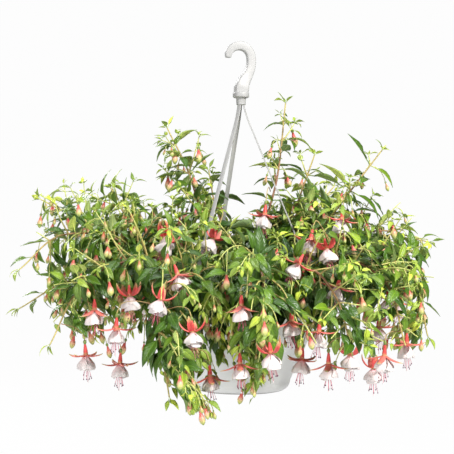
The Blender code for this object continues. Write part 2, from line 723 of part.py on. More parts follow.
def make_flower(index, eye, lean, stems, parts, obstacles, blooms):
    others = obstacles + blooms
    body, sepals, (foot, outward, stalk), ways = place_flower(index, eye, lean, stems, others)
    bm = bmesh.new()
    end = start_box(bm, foot, outward, outward.orthogonal().normalized(), STALK_HALF, 0.0012)
    for section in stalk + body[: len(CALYX) + 1]:
        end = extrude_to(bm, end, section)
    around = side_faces(end)
    for section in body[len(CALYX) + 1 :]:
        end = extrude_to(bm, end, section)
    roots = [max(around, key=lambda side: side.normal.dot(way)) for way in ways]
    for face, sections in zip(roots, sepals):
        for section in sections[1:]:
            face = extrude_to(bm, face, section)
        blooms.append(entry(sections))
    across = outward.orthogonal().normalized()
    root = corners_at(foot, across, outward.cross(across), STALK_HALF, STALK_HALF)
    blooms.append(entry([root, *stalk, *body]))
    return add_mesh(f"flower_{index:02d}", bm, parts, "flower")


def main():
    for obj in list(bpy.data.objects):
        bpy.data.objects.remove(obj)
    parts = collection("fuchsia_hanging_basket")
    helpers = collection("cutters")
    bowl = make_bowl(parts, helpers)
    soil = make_soil(parts)
    hanger = make_hanger(parts, helpers)
    bpy.context.view_layer.update()
    fixed = [(tree_of_object(obj), None, 0.0) for obj in (bowl, soil, hanger)]
    stems = [Stem(*route) for route in STEMS]
    canes = []
    for stem in stems:
        canes.append(entry(stem.rings()))
    blooms = []
    for i, (eye, lean) in enumerate(FLOWERS):
        make_flower(i + 1, eye, lean, stems, parts, fixed + canes, blooms)
    leaves = []
    for i, stem in enumerate(stems):
        others = fixed + canes[:i] + canes[i + 1 :] + blooms
        make_stem(i + 1, stem, parts, others, leaves)


main()
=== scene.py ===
import json
import math
import random

import bmesh
import bpy
from mathutils import Matrix, Vector

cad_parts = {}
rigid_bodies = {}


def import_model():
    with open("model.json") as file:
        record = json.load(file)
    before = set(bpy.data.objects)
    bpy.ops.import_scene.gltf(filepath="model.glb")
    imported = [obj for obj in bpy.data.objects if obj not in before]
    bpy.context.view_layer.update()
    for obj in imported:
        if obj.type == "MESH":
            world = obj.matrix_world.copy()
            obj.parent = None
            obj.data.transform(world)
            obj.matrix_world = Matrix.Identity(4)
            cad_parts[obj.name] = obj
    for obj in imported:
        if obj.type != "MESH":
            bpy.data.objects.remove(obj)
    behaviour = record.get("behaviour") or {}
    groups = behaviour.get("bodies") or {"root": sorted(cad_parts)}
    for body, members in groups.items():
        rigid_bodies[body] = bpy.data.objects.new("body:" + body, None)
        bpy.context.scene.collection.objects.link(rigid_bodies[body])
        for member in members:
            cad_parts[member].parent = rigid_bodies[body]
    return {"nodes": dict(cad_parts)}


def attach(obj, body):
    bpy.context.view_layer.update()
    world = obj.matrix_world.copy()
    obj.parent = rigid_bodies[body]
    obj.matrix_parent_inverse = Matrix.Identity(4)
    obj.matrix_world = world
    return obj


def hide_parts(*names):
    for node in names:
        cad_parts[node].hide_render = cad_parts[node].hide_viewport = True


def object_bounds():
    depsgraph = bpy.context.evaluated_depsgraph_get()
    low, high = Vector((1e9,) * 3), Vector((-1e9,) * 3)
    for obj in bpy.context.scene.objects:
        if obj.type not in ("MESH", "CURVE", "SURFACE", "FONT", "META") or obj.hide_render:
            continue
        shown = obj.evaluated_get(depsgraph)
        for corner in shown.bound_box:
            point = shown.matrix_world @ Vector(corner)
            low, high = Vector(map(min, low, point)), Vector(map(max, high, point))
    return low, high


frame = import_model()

cadLow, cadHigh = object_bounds()
up = Vector((0.0, 0.0, 1.0))
tiny = 0.00001  # vertices closer than this are merged


# small helpers for node trees


def addNode(tree, kind, inputs=None, **settings):
    node = tree.nodes.new(kind)
    for key, value in settings.items():
        setattr(node, key, value)
    for key, value in (inputs or {}).items():
        if isinstance(value, bpy.types.NodeSocket):
            tree.links.new(value, node.inputs[key])
        else:
            node.inputs[key].default_value = value
    return node


def calc(tree, operation, first, second=0.0):
    return addNode(tree, "ShaderNodeMath", {0: first, 1: second}, operation=operation).outputs[0]


def times(tree, first, second):
    return calc(tree, "MULTIPLY", first, second)


def fade(tree, value, start, stop, low=0.0, high=1.0):
    inputs = {"Value": value, "From Min": start, "From Max": stop, "To Min": low, "To Max": high}
    return addNode(tree, "ShaderNodeMapRange", inputs).outputs[0]


def mixColour(tree, factor, first, second, blend="MIX"):
    colours = [c if isinstance(c, bpy.types.NodeSocket) else (*c, 1.0) for c in (first, second)]
    inputs = {0: factor, 6: colours[0], 7: colours[1]}
    return addNode(tree, "ShaderNodeMix", inputs, data_type="RGBA", blend_type=blend).outputs[2]


def ramp(tree, factor, *stops):
    node = addNode(tree, "ShaderNodeValToRGB", {"Fac": factor})
    elements = node.color_ramp.elements
    for element, (position, colour) in zip(elements, (stops[0], stops[-1])):
        element.position = position
        element.color = (*colour, 1.0)
    for position, colour in stops[1:-1]:
        elements.new(position).color = (*colour, 1.0)
    return node.outputs["Color"]


def attribute(tree, name):
    return addNode(tree, "ShaderNodeAttribute", attribute_name=name).outputs["Fac"]


def objectNoise(tree, scale, detail=3.0, roughness=0.5):
    place = addNode(tree, "ShaderNodeTexCoord").outputs["Object"]
    inputs = {"Vector": place, "Scale": scale, "Detail": detail, "Roughness": roughness}
    return addNode(tree, "ShaderNodeTexNoise", inputs).outputs["Fac"]


# a value cut into stripes: 0 in the middle of each and 0.5 at its sides
def stripes(tree, value, count):
    share = calc(tree, "FRACT", times(tree, value, count))
    return calc(tree, "ABSOLUTE", calc(tree, "SUBTRACT", share, 0.5))


def grey(value):
    return (value, value, value)


# a colour with cloudy darker and lighter patches
def mottled(tree, base, scale, dark, light, detail=3.0):
    patches = ramp(tree, objectNoise(tree, scale, detail), (0.3, dark), (0.7, light))
    return mixColour(tree, 1.0, base, patches, "MULTIPLY")


def newMaterial(name, roughness=0.5):
    material = bpy.data.materials.new(name)
    material.use_nodes = True
    tree = material.node_tree
    shader = tree.nodes["Principled BSDF"]
    shader.inputs["Roughness"].default_value = roughness
    return material, tree, shader


def paint(tree, shader, colour):
    tree.links.new(colour, shader.inputs["Base Color"])


def addBump(tree, shader, height, strength, distance):
    inputs = {"Height": height, "Strength": strength, "Distance": distance}
    tree.links.new(addNode(tree, "ShaderNodeBump", inputs).outputs[0], shader.inputs["Normal"])


def addSubsurface(shader, weight, radius):
    shader.inputs["Subsurface Weight"].default_value = weight
    shader.inputs["Subsurface Radius"].default_value = radius


# materials

plasticLook = {
    "hanger": (0.41, 0.41, 0.41),
    "bowl": (0.74, 0.75, 0.75),
    "shade": 0.93,
    "dust": (0.42, 0.40, 0.35),
    "dustHeights": (-0.395, -0.425),
    # painted shade: the bowl gets darker low down
    "paintedShadeHeights": (-0.46, -0.53),
    # painted shadow under the foot: a dark band at the very bottom of the bowl
    "paintedFootShadow": (0.10, 0.10, 0.09),
    "paintedFootShadowHeights": (-0.5225, -0.5252),
    "turningLines": 180.0,
}


def shadedPlastic(key):
    return tuple(c * plasticLook["shade"] for c in plasticLook[key])


def hangerPlastic():
    material, tree, shader = newMaterial("hangerPlastic", 0.33)
    cloud = objectNoise(tree, 60.0, 4.0)
    patches = fade(tree, cloud, 0.3, 0.8)
    paint(tree, shader, mixColour(tree, patches, plasticLook["hanger"], shadedPlastic("hanger")))
    tree.links.new(fade(tree, cloud, 0.3, 0.7, 0.40, 0.50), shader.inputs["Roughness"])
    addBump(tree, shader, objectNoise(tree, 180.0, 1.0), 0.03, 0.0003)
    return material


# splashed with soil near its rim, with painted shade low down and a painted shadow under its foot
def bowlPlastic():
    material, tree, shader = newMaterial("bowlPlastic", 0.40)
    look = plasticLook
    cloud = objectNoise(tree, 22.0, 5.0)
    place = addNode(tree, "ShaderNodeTexCoord").outputs["Object"]
    height = addNode(tree, "ShaderNodeSeparateXYZ", {0: place}).outputs["Z"]
    dust = times(tree, fade(tree, height, *look["dustHeights"], 0.35, 0.0), fade(tree, cloud, 0.45, 0.7))
    # painted shade, darker low down on the bowl
    low = fade(tree, height, *look["paintedShadeHeights"])
    # painted shadow under the foot, patchy, in a dark band at the bottom
    paintedFootShadow = times(tree, fade(tree, height, *look["paintedFootShadowHeights"]), fade(tree, cloud, 0.2, 0.5, 0.6, 1.0))
    colour = mixColour(tree, low, look["bowl"], shadedPlastic("bowl"))
    colour = mixColour(tree, paintedFootShadow, colour, look["paintedFootShadow"])
    paint(tree, shader, mixColour(tree, dust, colour, look["dust"]))
    tree.links.new(fade(tree, cloud, 0.3, 0.7, 0.32, 0.46), shader.inputs["Roughness"])
    inputs = {"Vector": place, "Scale": look["turningLines"], "Distortion": 0.4}
    rings = addNode(tree, "ShaderNodeTexWave", inputs, bands_direction="Z").outputs["Fac"]
    addBump(tree, shader, calc(tree, "ADD", times(tree, rings, 0.25), objectNoise(tree, 700.0, 2.0)), 0.10, 0.0003)
    return material


def pottingSoil():
    material, tree, shader = newMaterial("pottingSoil", 0.95)
    dark, brown, pale = (0.018, 0.011, 0.007), (0.060, 0.038, 0.023), (0.130, 0.085, 0.050)
    lumps = objectNoise(tree, 160.0, 6.0, 0.65)
    paint(tree, shader, ramp(tree, lumps, (0.30, dark), (0.55, brown), (0.75, pale)))
    addBump(tree, shader, objectNoise(tree, 420.0, 8.0, 0.7), 0.9, 0.002)
    return material


def perliteGrain():
    material, tree, shader = newMaterial("perliteGrain", 0.8)
    stops = (0.3, (0.45, 0.42, 0.36)), (0.7, (0.80, 0.78, 0.72))
    paint(tree, shader, ramp(tree, objectNoise(tree, 500.0), *stops))
    addBump(tree, shader, objectNoise(tree, 1500.0), 0.5, 0.0006)
    return material


leafLook = {
    "top": ((0.020, 0.064, 0.010), (0.070, 0.155, 0.008), (0.340, 0.460, 0.060)),  # old, middling, young
    "under": ((0.230, 0.320, 0.160), (0.430, 0.550, 0.120)),
    "tints": ((0.0, (0.55, 0.66, 0.72)), (0.6, (1.0, 1.0, 1.0)), (1.0, (1.75, 1.55, 1.25))),
    "veinGlow": (2.0, 1.75, 1.7),
    "veinLift": 0.75,
    "sideVeins": 7.0,
    "veinSweep": 2.3,
}


# old leaves are dark and young ones yellow-green; the veins arch from the midrib towards the tip
def leafSurface(name, top):
    material, tree, shader = newMaterial(name, 0.38 if top else 0.62)
    look = leafLook
    along, across = attribute(tree, "along"), calc(tree, "ABSOLUTE", attribute(tree, "across"))
    ages = look["top" if top else "under"]
    base = ramp(tree, attribute(tree, "age"), *((i / (len(ages) - 1), colour) for i, colour in enumerate(ages)))
    base = mixColour(tree, 1.0, base, ramp(tree, attribute(tree, "tint"), *look["tints"]), "MULTIPLY")
    base = mottled(tree, base, 240.0, (0.86, 0.88, 0.84), grey(1.1))
    sweep = calc(tree, "SUBTRACT", times(tree, along, look["sideVeins"]), times(tree, across, look["veinSweep"]))
    beat = stripes(tree, sweep, 1.0)
    side = times(tree, fade(tree, beat, 0.10, 0.0), fade(tree, across, 0.95, 0.45))
    veins = calc(tree, "MAXIMUM", fade(tree, across, 0.13, 0.02), times(tree, side, 0.6))
    paler = mixColour(tree, 1.0, base, look["veinGlow"], "MULTIPLY")
    paint(tree, shader, mixColour(tree, times(tree, veins, look["veinLift"]), base, paler))
    height = calc(tree, "SUBTRACT", times(tree, beat, 1.4), times(tree, veins, 1.0 if top else -1.0))
    addBump(tree, shader, height, 0.45, 0.0006)
    shader.inputs["Specular IOR Level"].default_value = 0.50 if top else 0.20
    return material


barkLook = (
    (0.0, (0.160, 0.070, 0.040)),
    (0.35, (0.330, 0.160, 0.085)),
    (0.7, (0.520, 0.430, 0.140)),
    (1.0, (0.600, 0.640, 0.190)),
)


# brown-red where old, green where young, with fine lengthwise lines
def stemBark():
    material, tree, shader = newMaterial("stemBark", 0.55)
    base = ramp(tree, attribute(tree, "age"), *barkLook)
    paint(tree, shader, mottled(tree, base, 400.0, grey(0.70), grey(1.2), 4.0))
    addBump(tree, shader, objectNoise(tree, 900.0, 3.0), 0.4, 0.0004)
    return material


petalLook = {
    "sepal": (0.720, 0.075, 0.070),
    "sepalInside": (0.800, 0.200, 0.170),
    "sepalTip": (0.560, 0.560, 0.230),
    "petal": (0.740, 0.680, 0.670),
    "petalVein": (0.720, 0.250, 0.300),
    "sepalLines": 3.5,
    "petalVeins": 4.5,
}


# coral, with fine lengthwise lines, fading to a green-white tip
def sepalSkin(name, colour):
    material, tree, shader = newMaterial(name, 0.48)
    along = attribute(tree, "along")
    lines = stripes(tree, attribute(tree, "across"), petalLook["sepalLines"])
    base = mixColour(tree, fade(tree, along, 0.62, 0.98), colour, petalLook["sepalTip"])
    base = mixColour(tree, fade(tree, lines, 0.18, 0.0, 0.0, 0.35), base, tuple(c * 0.6 for c in colour))
    paint(tree, shader, mottled(tree, base, 500.0, grey(0.85), grey(1.12)))
    addBump(tree, shader, lines, 0.35, 0.0004)
    addSubsurface(shader, 0.08, (0.004, 0.001, 0.001))
    return material


# white, flushed pink at its root, with thin pink veins that fan out
def petalSkin():
    material, tree, shader = newMaterial("petalSkin", 0.55)
    along = attribute(tree, "along")
    fan = stripes(tree, attribute(tree, "across"), petalLook["petalVeins"])
    vein = times(tree, fade(tree, fan, 0.12, 0.0), fade(tree, along, 0.95, 0.15))
    flush = calc(tree, "MAXIMUM", fade(tree, along, 0.30, 0.0, 0.0, 0.75), times(tree, vein, 0.55))
    paint(tree, shader, mixColour(tree, flush, petalLook["petal"], petalLook["petalVein"]))
    addBump(tree, shader, calc(tree, "ADD", fan, objectNoise(tree, 600.0)), 0.30, 0.0005)
    addSubsurface(shader, 0.10, (0.004, 0.003, 0.003))
    return material


def plainSkin(name, colour, darker, scale, roughness):
    material, tree, shader = newMaterial(name, roughness)
    patches = fade(tree, objectNoise(tree, scale), 0.35, 0.65)
    paint(tree, shader, mixColour(tree, patches, colour, darker))
    addBump(tree, shader, objectNoise(tree, scale * 2), 0.3, 0.0003)
    return material


budLook = {
    "skin": (
        (0.0, (0.120, 0.230, 0.040)),
        (0.16, (0.200, 0.260, 0.060)),
        (0.25, (0.640, 0.060, 0.065)),
        (0.46, (0.780, 0.160, 0.130)),
        (0.60, (0.800, 0.420, 0.280)),
        (0.80, (0.600, 0.580, 0.200)),
        (1.0, (0.260, 0.390, 0.080)),
    ),
    "young": (0.330, 0.440, 0.110),
    "ridges": 4.0,
}


# from the green ovary through the red tube and coral bud to its green tip; small buds are greener
def budSkin():
    material, tree, shader = newMaterial("budSkin", 0.42)
    colour = ramp(tree, attribute(tree, "along"), *budLook["skin"])
    green = fade(tree, attribute(tree, "age"), 0.45, 1.0, 0.0, 0.85)
    base = mixColour(tree, green, colour, budLook["young"])
    paint(tree, shader, mottled(tree, base, 500.0, grey(0.85), grey(1.1)))
    addBump(tree, shader, stripes(tree, attribute(tree, "across"), budLook["ridges"]), 0.5, 0.0006)
    return material


bark = stemBark()
leafMaterials = [leafSurface("leafTop", True), leafSurface("leafUnder", False)]
flowerMaterials = [
    sepalSkin("sepalOutside", petalLook["sepal"]),
    sepalSkin("sepalInside", petalLook["sepalInside"]),
    petalSkin(),
    plainSkin("stamenThread", (0.760, 0.170, 0.230), (0.660, 0.120, 0.200), 300.0, 0.45),
    plainSkin("antherDust", (0.180, 0.060, 0.110), (0.110, 0.030, 0.070), 900.0, 0.85),
    plainSkin("ovarySkin", (0.150, 0.270, 0.050), (0.230, 0.230, 0.060), 350.0, 0.40),
]
budMaterial = budSkin()
print("materials made")


# meshes


def collectionNamed(name):
    made = bpy.data.collections.new(name)
    bpy.context.scene.collection.children.link(made)
    return made


visual = collectionNamed("fuchsiaBasket")
workshop = collectionNamed("workshop")  # helpers and prototypes, emptied at the end


def objectFrom(name, mesh, where):
    made = bpy.data.objects.new(name, mesh)
    where.objects.link(made)
    return made


def meshFrom(name, bm, materials=()):
    mesh = bpy.data.meshes.new(name)
    bm.to_mesh(mesh)
    bm.free()
    for material in materials:
        mesh.materials.append(material)
    return mesh


# the mesh of a helper with its modifiers applied. The helper is removed
def applied(obj):
    bpy.context.view_layer.update()
    mesh = bpy.data.meshes.new_from_object(obj.evaluated_get(bpy.context.evaluated_depsgraph_get()))
    bpy.data.objects.remove(obj)
    return mesh


def smoothed(mesh, angle=None):
    mesh.shade_smooth()
    if angle is not None:
        mesh.set_sharp_from_angle(angle=math.radians(angle))
    return mesh


# one mesh out of several that share their list of materials
def joined(name, meshes, materials):
    bm = bmesh.new()
    for mesh in meshes:
        bm.from_mesh(mesh)
        bpy.data.meshes.remove(mesh)
    return meshFrom(name, bm, materials)


# new vertices, extruded from edges
def extruded(bm, edges):
    made = bmesh.ops.extrude_edge_only(bm, edges=edges)["geom"]
    return [item for item in made if isinstance(item, bmesh.types.BMVert)]


# a flat strip along places, as wide as side to either hand
def stripBetween(places, side):
    bm = bmesh.new()
    verts = [bm.verts.new(place - side) for place in places]
    edges = [bm.edges.new(pair) for pair in zip(verts, verts[1:])]
    bmesh.ops.translate(bm, vec=side * 2, verts=extruded(bm, edges))
    return bm


# faces get their slot, and vertices their share along and across by way(place)
def marked(bm, way, slot):
    acrossLayer, alongLayer = bm.verts.layers.float.new("across"), bm.verts.layers.float.new("along")
    for vert in bm.verts:
        vert[acrossLayer], vert[alongLayer] = way(vert.co)
    for face in bm.faces:
        face.material_index = slot
    return bm


# a round shape from its helper, closed, with its faces outwards
def roundMesh(name, helper, way, materials, slot):
    bm = bmesh.new()
    mesh = applied(helper)
    bm.from_mesh(mesh)
    bpy.data.meshes.remove(mesh)
    bmesh.ops.remove_doubles(bm, verts=bm.verts, dist=tiny)
    bmesh.ops.recalc_face_normals(bm, faces=bm.faces)
    return smoothed(meshFrom(name, marked(bm, way, slot), materials))


# a thin closed blade: a grid bent by shape(across, along), with Solidify and Subsurf on it
def sheetMesh(name, columns, rows, shape, thickness, materials, slot=0, smooth=0):
    bm = bmesh.new()
    bmesh.ops.create_grid(bm, x_segments=columns, y_segments=rows, size=1.0)
    marked(bm, lambda place: (place.x, (place.y + 1.0) / 2), slot)
    for vert in bm.verts:
        vert.co = shape(vert.co.x, (vert.co.y + 1.0) / 2)
    blade = objectFrom(name, meshFrom(name, bm, materials), workshop)
    solid = blade.modifiers.new("thickness", "SOLIDIFY")
    solid.thickness = thickness
    solid.offset = -1.0
    solid.material_offset = 1 if slot + 1 < len(materials) and slot == 0 else 0
    if smooth:
        finer = blade.modifiers.new("finer", "SUBSURF")
        finer.levels = finer.render_levels = smooth
    return smoothed(applied(blade))


# a closed turned shape; along runs down its profile and across goes round it
def turnedMesh(name, profile, steps, materials, slot=0):
    bm = bmesh.new()
    corners = [bm.verts.new((radius, 0.0, height)) for radius, height in profile]
    for first, second in zip(corners, corners[1:]):
        bm.edges.new((first, second))
    turned = objectFrom(name, meshFrom(name, bm), workshop)
    screw = turned.modifiers.new("turn", "SCREW")
    screw.steps = screw.render_steps = steps
    screw.use_merge_vertices = True
    screw.merge_threshold = tiny
    top, bottom = profile[0][1], profile[-1][1]

    def way(place):
        return math.atan2(place.y, place.x) / math.pi, (top - place.z) / (top - bottom)

    return roundMesh(name, turned, way, materials, slot)


# a closed tube along points, from a curve with a round bevel
def tubeMesh(name, points, radii, sides, materials, slot=0):
    curve = bpy.data.curves.new(name, "CURVE")
    curve.dimensions = "3D"
    curve.bevel_depth = 1.0
    curve.bevel_resolution = max(0, sides // 2 - 2)
    curve.use_fill_caps = True
    spline = curve.splines.new("POLY")
    spline.points.add(len(points) - 1)
    for point, place, radius in zip(spline.points, points, radii):
        point.co = (*place, 1.0)
        point.radius = radius
    return roundMesh(name, objectFrom(name, curve, workshop), lambda place: (0.5, 0.5), materials, slot)


def moved(mesh, place):
    mesh.transform(Matrix.Translation(place))
    return mesh


# leaf kinds: unit length along +Y, upper side +Z, with the leaf stalk behind the origin of the blade

leafShape = {
    "halfWidth": 0.228,
    "stalk": 0.25,
    "stalkRadius": 0.019,
    "thickness": 0.010,
    "fold": 0.34,
    "curls": (0.60, 1.15, 0.20, 0.85),
    "waves": (0.022, 0.040, 0.050, 0.012),
    "twists": (0.15, -0.40, 0.45, -0.10),
}


# half-width of the blade: rounded near the stalk, drawn out to a point at the tip
def leafOutline(along):
    body = math.sin(math.pi * min(1.0, along) ** 0.78) ** 0.95
    return leafShape["halfWidth"] * (body * (1.06 - 0.34 * along) + 0.010)


def leafKind(index):
    look = leafShape
    curl, wave, twist = (look[key][index] for key in ("curls", "waves", "twists"))

    def shape(across, along):
        bend = curl * along
        reach = math.sin(bend) / curl
        drop = (1.0 - math.cos(bend)) / curl
        side = across * leafOutline(along)
        ripple = wave * math.sin(along * 9.0 + index + across) * abs(across) * (1 - along)
        lift = abs(side) * look["fold"] + ripple
        roll = twist * along
        x = side * math.cos(roll) - lift * math.sin(roll)
        z = side * math.sin(roll) + lift * math.cos(roll)
        return Vector((x, look["stalk"] + reach - drop * z * 0.6, z - drop))

    blade = sheetMesh(f"leafBlade{index}", 4, 5, shape, look["thickness"], leafMaterials)
    stalk = [Vector((0.0, y, z)) for y, z in ((0.0, 0.0), (look["stalk"] * 0.5, 0.010), (look["stalk"] + 0.05, -0.004))]
    tube = tubeMesh(f"leafStalk{index}", stalk, [look["stalkRadius"]] * 3, 4, leafMaterials, 1)
    return joined(f"leaf{index}", [blade, tube], leafMaterials)


leaves = collectionNamed("leafKinds")
for index in range(len(leafShape["curls"])):
    leaves.objects.link(bpy.data.objects.new(f"leafKind{index}", leafKind(index)))
print("leaf kinds made")


# bud kind: hangs down from the origin, 1 unit long

budShape = {
    "profile": (
        (0.0, 0.0), (0.050, -0.02), (0.085, -0.08), (0.088, -0.14), (0.052, -0.20), (0.064, -0.28),
        (0.086, -0.38), (0.105, -0.45), (0.150, -0.54), (0.176, -0.64), (0.172, -0.74), (0.132, -0.86),
        (0.062, -0.955), (0.0, -1.0),
    ),
    "steps": 8,
}
buds = collectionNamed("budKinds")
budMesh = turnedMesh("bud", budShape["profile"], budShape["steps"], [budMaterial])
buds.objects.link(bpy.data.objects.new("budKind0", budMesh))


# flower kinds: the eye, where the sepals open, is at the origin and the flower hangs down

flowerShape = {
    "sepalLength": 0.0270,
    "sepalHalfWidth": 0.0043,
    "sepalThickness": 0.0007,
    "sepalRoot": 0.0026,
    "styles": {"flat": (72.0, 112.0), "umbrella": (58.0, 84.0), "upswept": (104.0, 172.0), "ball": (138.0, 214.0)},
    "petalLength": 0.0195,
    "petalThickness": 0.0005,
    "bellRadius": 0.0115,
    "bellRoot": 0.0024,
    "ruffle": 0.0024,
    "stamens": 8,
    "stamenLength": 0.0300,
    "threadRadius": 0.00026,
    "anther": ((0.0, 0.0), (0.0006, -0.0004), (0.00075, -0.0012), (0.0006, -0.0020), (0.0, -0.0024)),
    "styleLength": 0.0400,
    "styleRadius": 0.00036,
    "stigma": ((0.0, 0.0008), (0.0007, 0.0002), (0.0009, -0.0006), (0.0006, -0.0016), (0.0, -0.0020)),
    "ovary": ((0.0, 0.0212), (0.0008, 0.0211), (0.0022, 0.0195), (0.0025, 0.0172), (0.0015, 0.0148), (0.0, 0.0140)),
    "tube": (
        (0.0015, 0.0148), (0.0018, 0.0128), (0.0027, 0.0080), (0.0033, 0.0030), (0.0034, 0.0000),
        (0.0026, -0.0020), (0.0, -0.0026),
    ),
}


# one sepal. Its lean from straight down goes from start to stop degrees along its length
def sepalMesh(number, start, stop, rng):
    look = flowerShape
    turn = Matrix.Rotation(math.radians(90.0 * number), 3, "Z")
    lean = rng.uniform(-7.0, 7.0)
    steps = 24
    spine, here = [], Vector((look["sepalRoot"], 0.0, 0.0))
    for i in range(steps + 1):
        angle = math.radians(start + (stop - start) * (i / steps) ** 0.9 + lean)
        spine.append((here.copy(), angle))
        here = here + Vector((math.sin(angle), 0.0, -math.cos(angle))) * (look["sepalLength"] / steps)

    def shape(across, along):
        at, angle = spine[round(along * steps)]
        half = look["sepalHalfWidth"] * (math.sin(math.pi * (0.16 + 0.84 * along) ** 0.85) ** 0.8 + 0.02)
        outward = Vector((math.cos(angle), 0.0, math.sin(angle)))
        cup = (across * across) * half * 0.42
        return turn @ (at + Vector((0.0, across * half, 0.0)) - outward * cup)

    return sheetMesh(f"sepal{number}", 4, 8, shape, look["sepalThickness"], flowerMaterials, 0, 1)


# one petal of the bell, wide and ruffled at its hem, overlapping its neighbours
def petalMesh(number, count, whorl, rng):
    look = flowerShape
    centre = 2 * math.pi * (number + 0.5 * whorl) / count + rng.uniform(-0.12, 0.12)
    spread = math.pi / count * 1.45
    length = look["petalLength"] * (1.0 + 0.06 * whorl) * rng.uniform(0.82, 1.10)
    wide = look["bellRadius"] * (1.0 - 0.24 * whorl) * rng.uniform(0.88, 1.14)
    phase = rng.uniform(0.0, 6.0)

    def shape(across, along):
        angle = centre + across * spread * (0.45 + 0.55 * along)
        open = math.sin(math.pi / 2 * min(1.0, along * 1.25)) ** 1.3
        swell = look["bellRoot"] + (wide - look["bellRoot"]) * open
        ruffle = look["ruffle"] * along**2 * math.sin(across * 5.5 + phase)
        radius = swell + ruffle + 0.0006 * across * (1 if whorl else -1)
        drop = length * along * (1.0 - 0.16 * along * across * across)
        return Vector((radius * math.cos(angle), radius * math.sin(angle), -0.0012 - drop))

    return sheetMesh(f"petal{number}", 6, 7, shape, look["petalThickness"], flowerMaterials, 2, 1)


def stamenMeshes(rng):
    look = flowerShape
    made = []
    for i in range(look["stamens"]):
        angle = 2 * math.pi * (i + rng.uniform(-0.3, 0.3)) / look["stamens"]
        length = look["stamenLength"] * rng.uniform(0.86, 1.10)
        outward = Vector((math.cos(angle), math.sin(angle), 0.0))
        flare = rng.uniform(0.0035, 0.0065)
        points = [outward * (0.0012 + flare * t**1.6) - up * (0.002 + length * t) for t in (0.0, 0.35, 0.7, 1.0)]
        made.append(tubeMesh(f"thread{i}", points, [look["threadRadius"]] * 4, 4, flowerMaterials, 3))
        made.append(moved(turnedMesh(f"anther{i}", look["anther"], 6, flowerMaterials, 4), points[-1] + up * 0.0004))
    reach = look["styleLength"] - 0.004
    points = [Vector((0.0008 * math.sin(t * 3), 0.0, -0.002 - reach * t)) for t in (0.0, 0.3, 0.6, 0.85, 1.0)]
    made.append(tubeMesh("style", points, [look["styleRadius"]] * 5, 6, flowerMaterials, 3))
    made.append(moved(turnedMesh("stigma", look["stigma"], 8, flowerMaterials, 2), points[-1]))
    return made


def flowerKind(name, style, seed):
    rng = random.Random(seed)
    start, stop = flowerShape["styles"][style]
    parts = [turnedMesh("tube", flowerShape["tube"], 14, flowerMaterials, 0)]
    parts += [turnedMesh("ovary", flowerShape["ovary"], 12, flowerMaterials, 5)]
    parts += [sepalMesh(i, start, stop, rng) for i in range(4)]
    parts += [petalMesh(i, 4, whorl, rng) for whorl in (0, 1) for i in range(4)]
    parts += stamenMeshes(rng)
    return objectFrom(name, joined(name, parts, flowerMaterials), workshop)


flowerKinds = {}
for number, style in enumerate(flowerShape["styles"]):
    for turn in range(2):
        flowerKinds[style, turn] = flowerKind(f"flowerKind{style}{turn}", style, 11 + 5 * number + turn)
print("flower kinds made")


# geometry node trees


def newTree(name, inputs):
    tree = bpy.data.node_groups.new(name, "GeometryNodeTree")
    tree.interface.new_socket("Geometry", in_out="INPUT", socket_type="NodeSocketGeometry")
    for label, kind, value in inputs:
        socket = tree.interface.new_socket(label, in_out="INPUT", socket_type=kind)
        if value is not None:
            socket.default_value = value
    tree.interface.new_socket("Geometry", in_out="OUTPUT", socket_type="NodeSocketGeometry")
    return tree, tree.nodes.new("NodeGroupInput"), tree.nodes.new("NodeGroupOutput")


def namedAttribute(tree, name, kind="FLOAT"):
    return addNode(tree, "GeometryNodeInputNamedAttribute", {"Name": name}, data_type=kind).outputs["Attribute"]


# parts joined, made real and smooth, and sent out of the tree
def sendOut(tree, output, *parts):
    join = tree.nodes.new("GeometryNodeJoinGeometry")
    for part in parts:
        tree.links.new(part, join.inputs[0])
    real = addNode(tree, "GeometryNodeRealizeInstances", {"Geometry": join.outputs[0]}).outputs[0]
    tree.links.new(addNode(tree, "GeometryNodeSetShadeSmooth", {"Geometry": real}).outputs[0], output.inputs[0])
    return tree


# a random value between two others
def chance(tree, low, high, seed, kind="FLOAT"):
    first, out = {"FLOAT": (2, 1), "INT": (4, 2), "FLOAT_VECTOR": (0, 0)}[kind]
    inputs = {first: low, first + 1: high, "Seed": seed}
    return addNode(tree, "FunctionNodeRandomValue", inputs, data_type=kind).outputs[out]


def rotation(tree, angles):
    return addNode(tree, "FunctionNodeEulerToRotation", {0: angles}).outputs[0]


def geometryOf(tree, source):
    return addNode(tree, "GeometryNodeObjectInfo", {"Object": source}).outputs["Geometry"]


# round stems along the edges of a mesh, as thick as its radius attribute says
def sweepNodes(tree, source, sides, material):
    lines = addNode(tree, "GeometryNodeMeshToCurve", {"Mesh": source}).outputs[0]
    ring = addNode(tree, "GeometryNodeCurvePrimitiveCircle", {"Resolution": sides, "Radius": 1.0}).outputs[0]
    inputs = {"Curve": lines, "Profile Curve": ring, "Scale": namedAttribute(tree, "radius"), "Fill Caps": True}
    skin = addNode(tree, "GeometryNodeCurveToMesh", inputs).outputs[0]
    return addNode(tree, "GeometryNodeSetMaterial", {"Geometry": skin, "Material": material}).outputs[0]


# one of the kinds on every point, turned and sized by the point's own attributes
def scatterNodes(tree, source, kinds, low, high, seed):
    inputs = {"Collection": kinds, "Separate Children": True, "Reset Children": True}
    inputs = {
        "Points": geometryOf(tree, source),
        "Instance": addNode(tree, "GeometryNodeCollectionInfo", inputs).outputs[0],
        "Pick Instance": True,
        "Instance Index": chance(tree, 0, len(leafShape["curls"]) - 1, seed, "INT"),
        "Rotation": rotation(tree, namedAttribute(tree, "turn", "FLOAT_VECTOR")),
        "Scale": times(tree, namedAttribute(tree, "size"), chance(tree, low, high, seed)),
    }
    return addNode(tree, "GeometryNodeInstanceOnPoints", inputs).outputs[0]


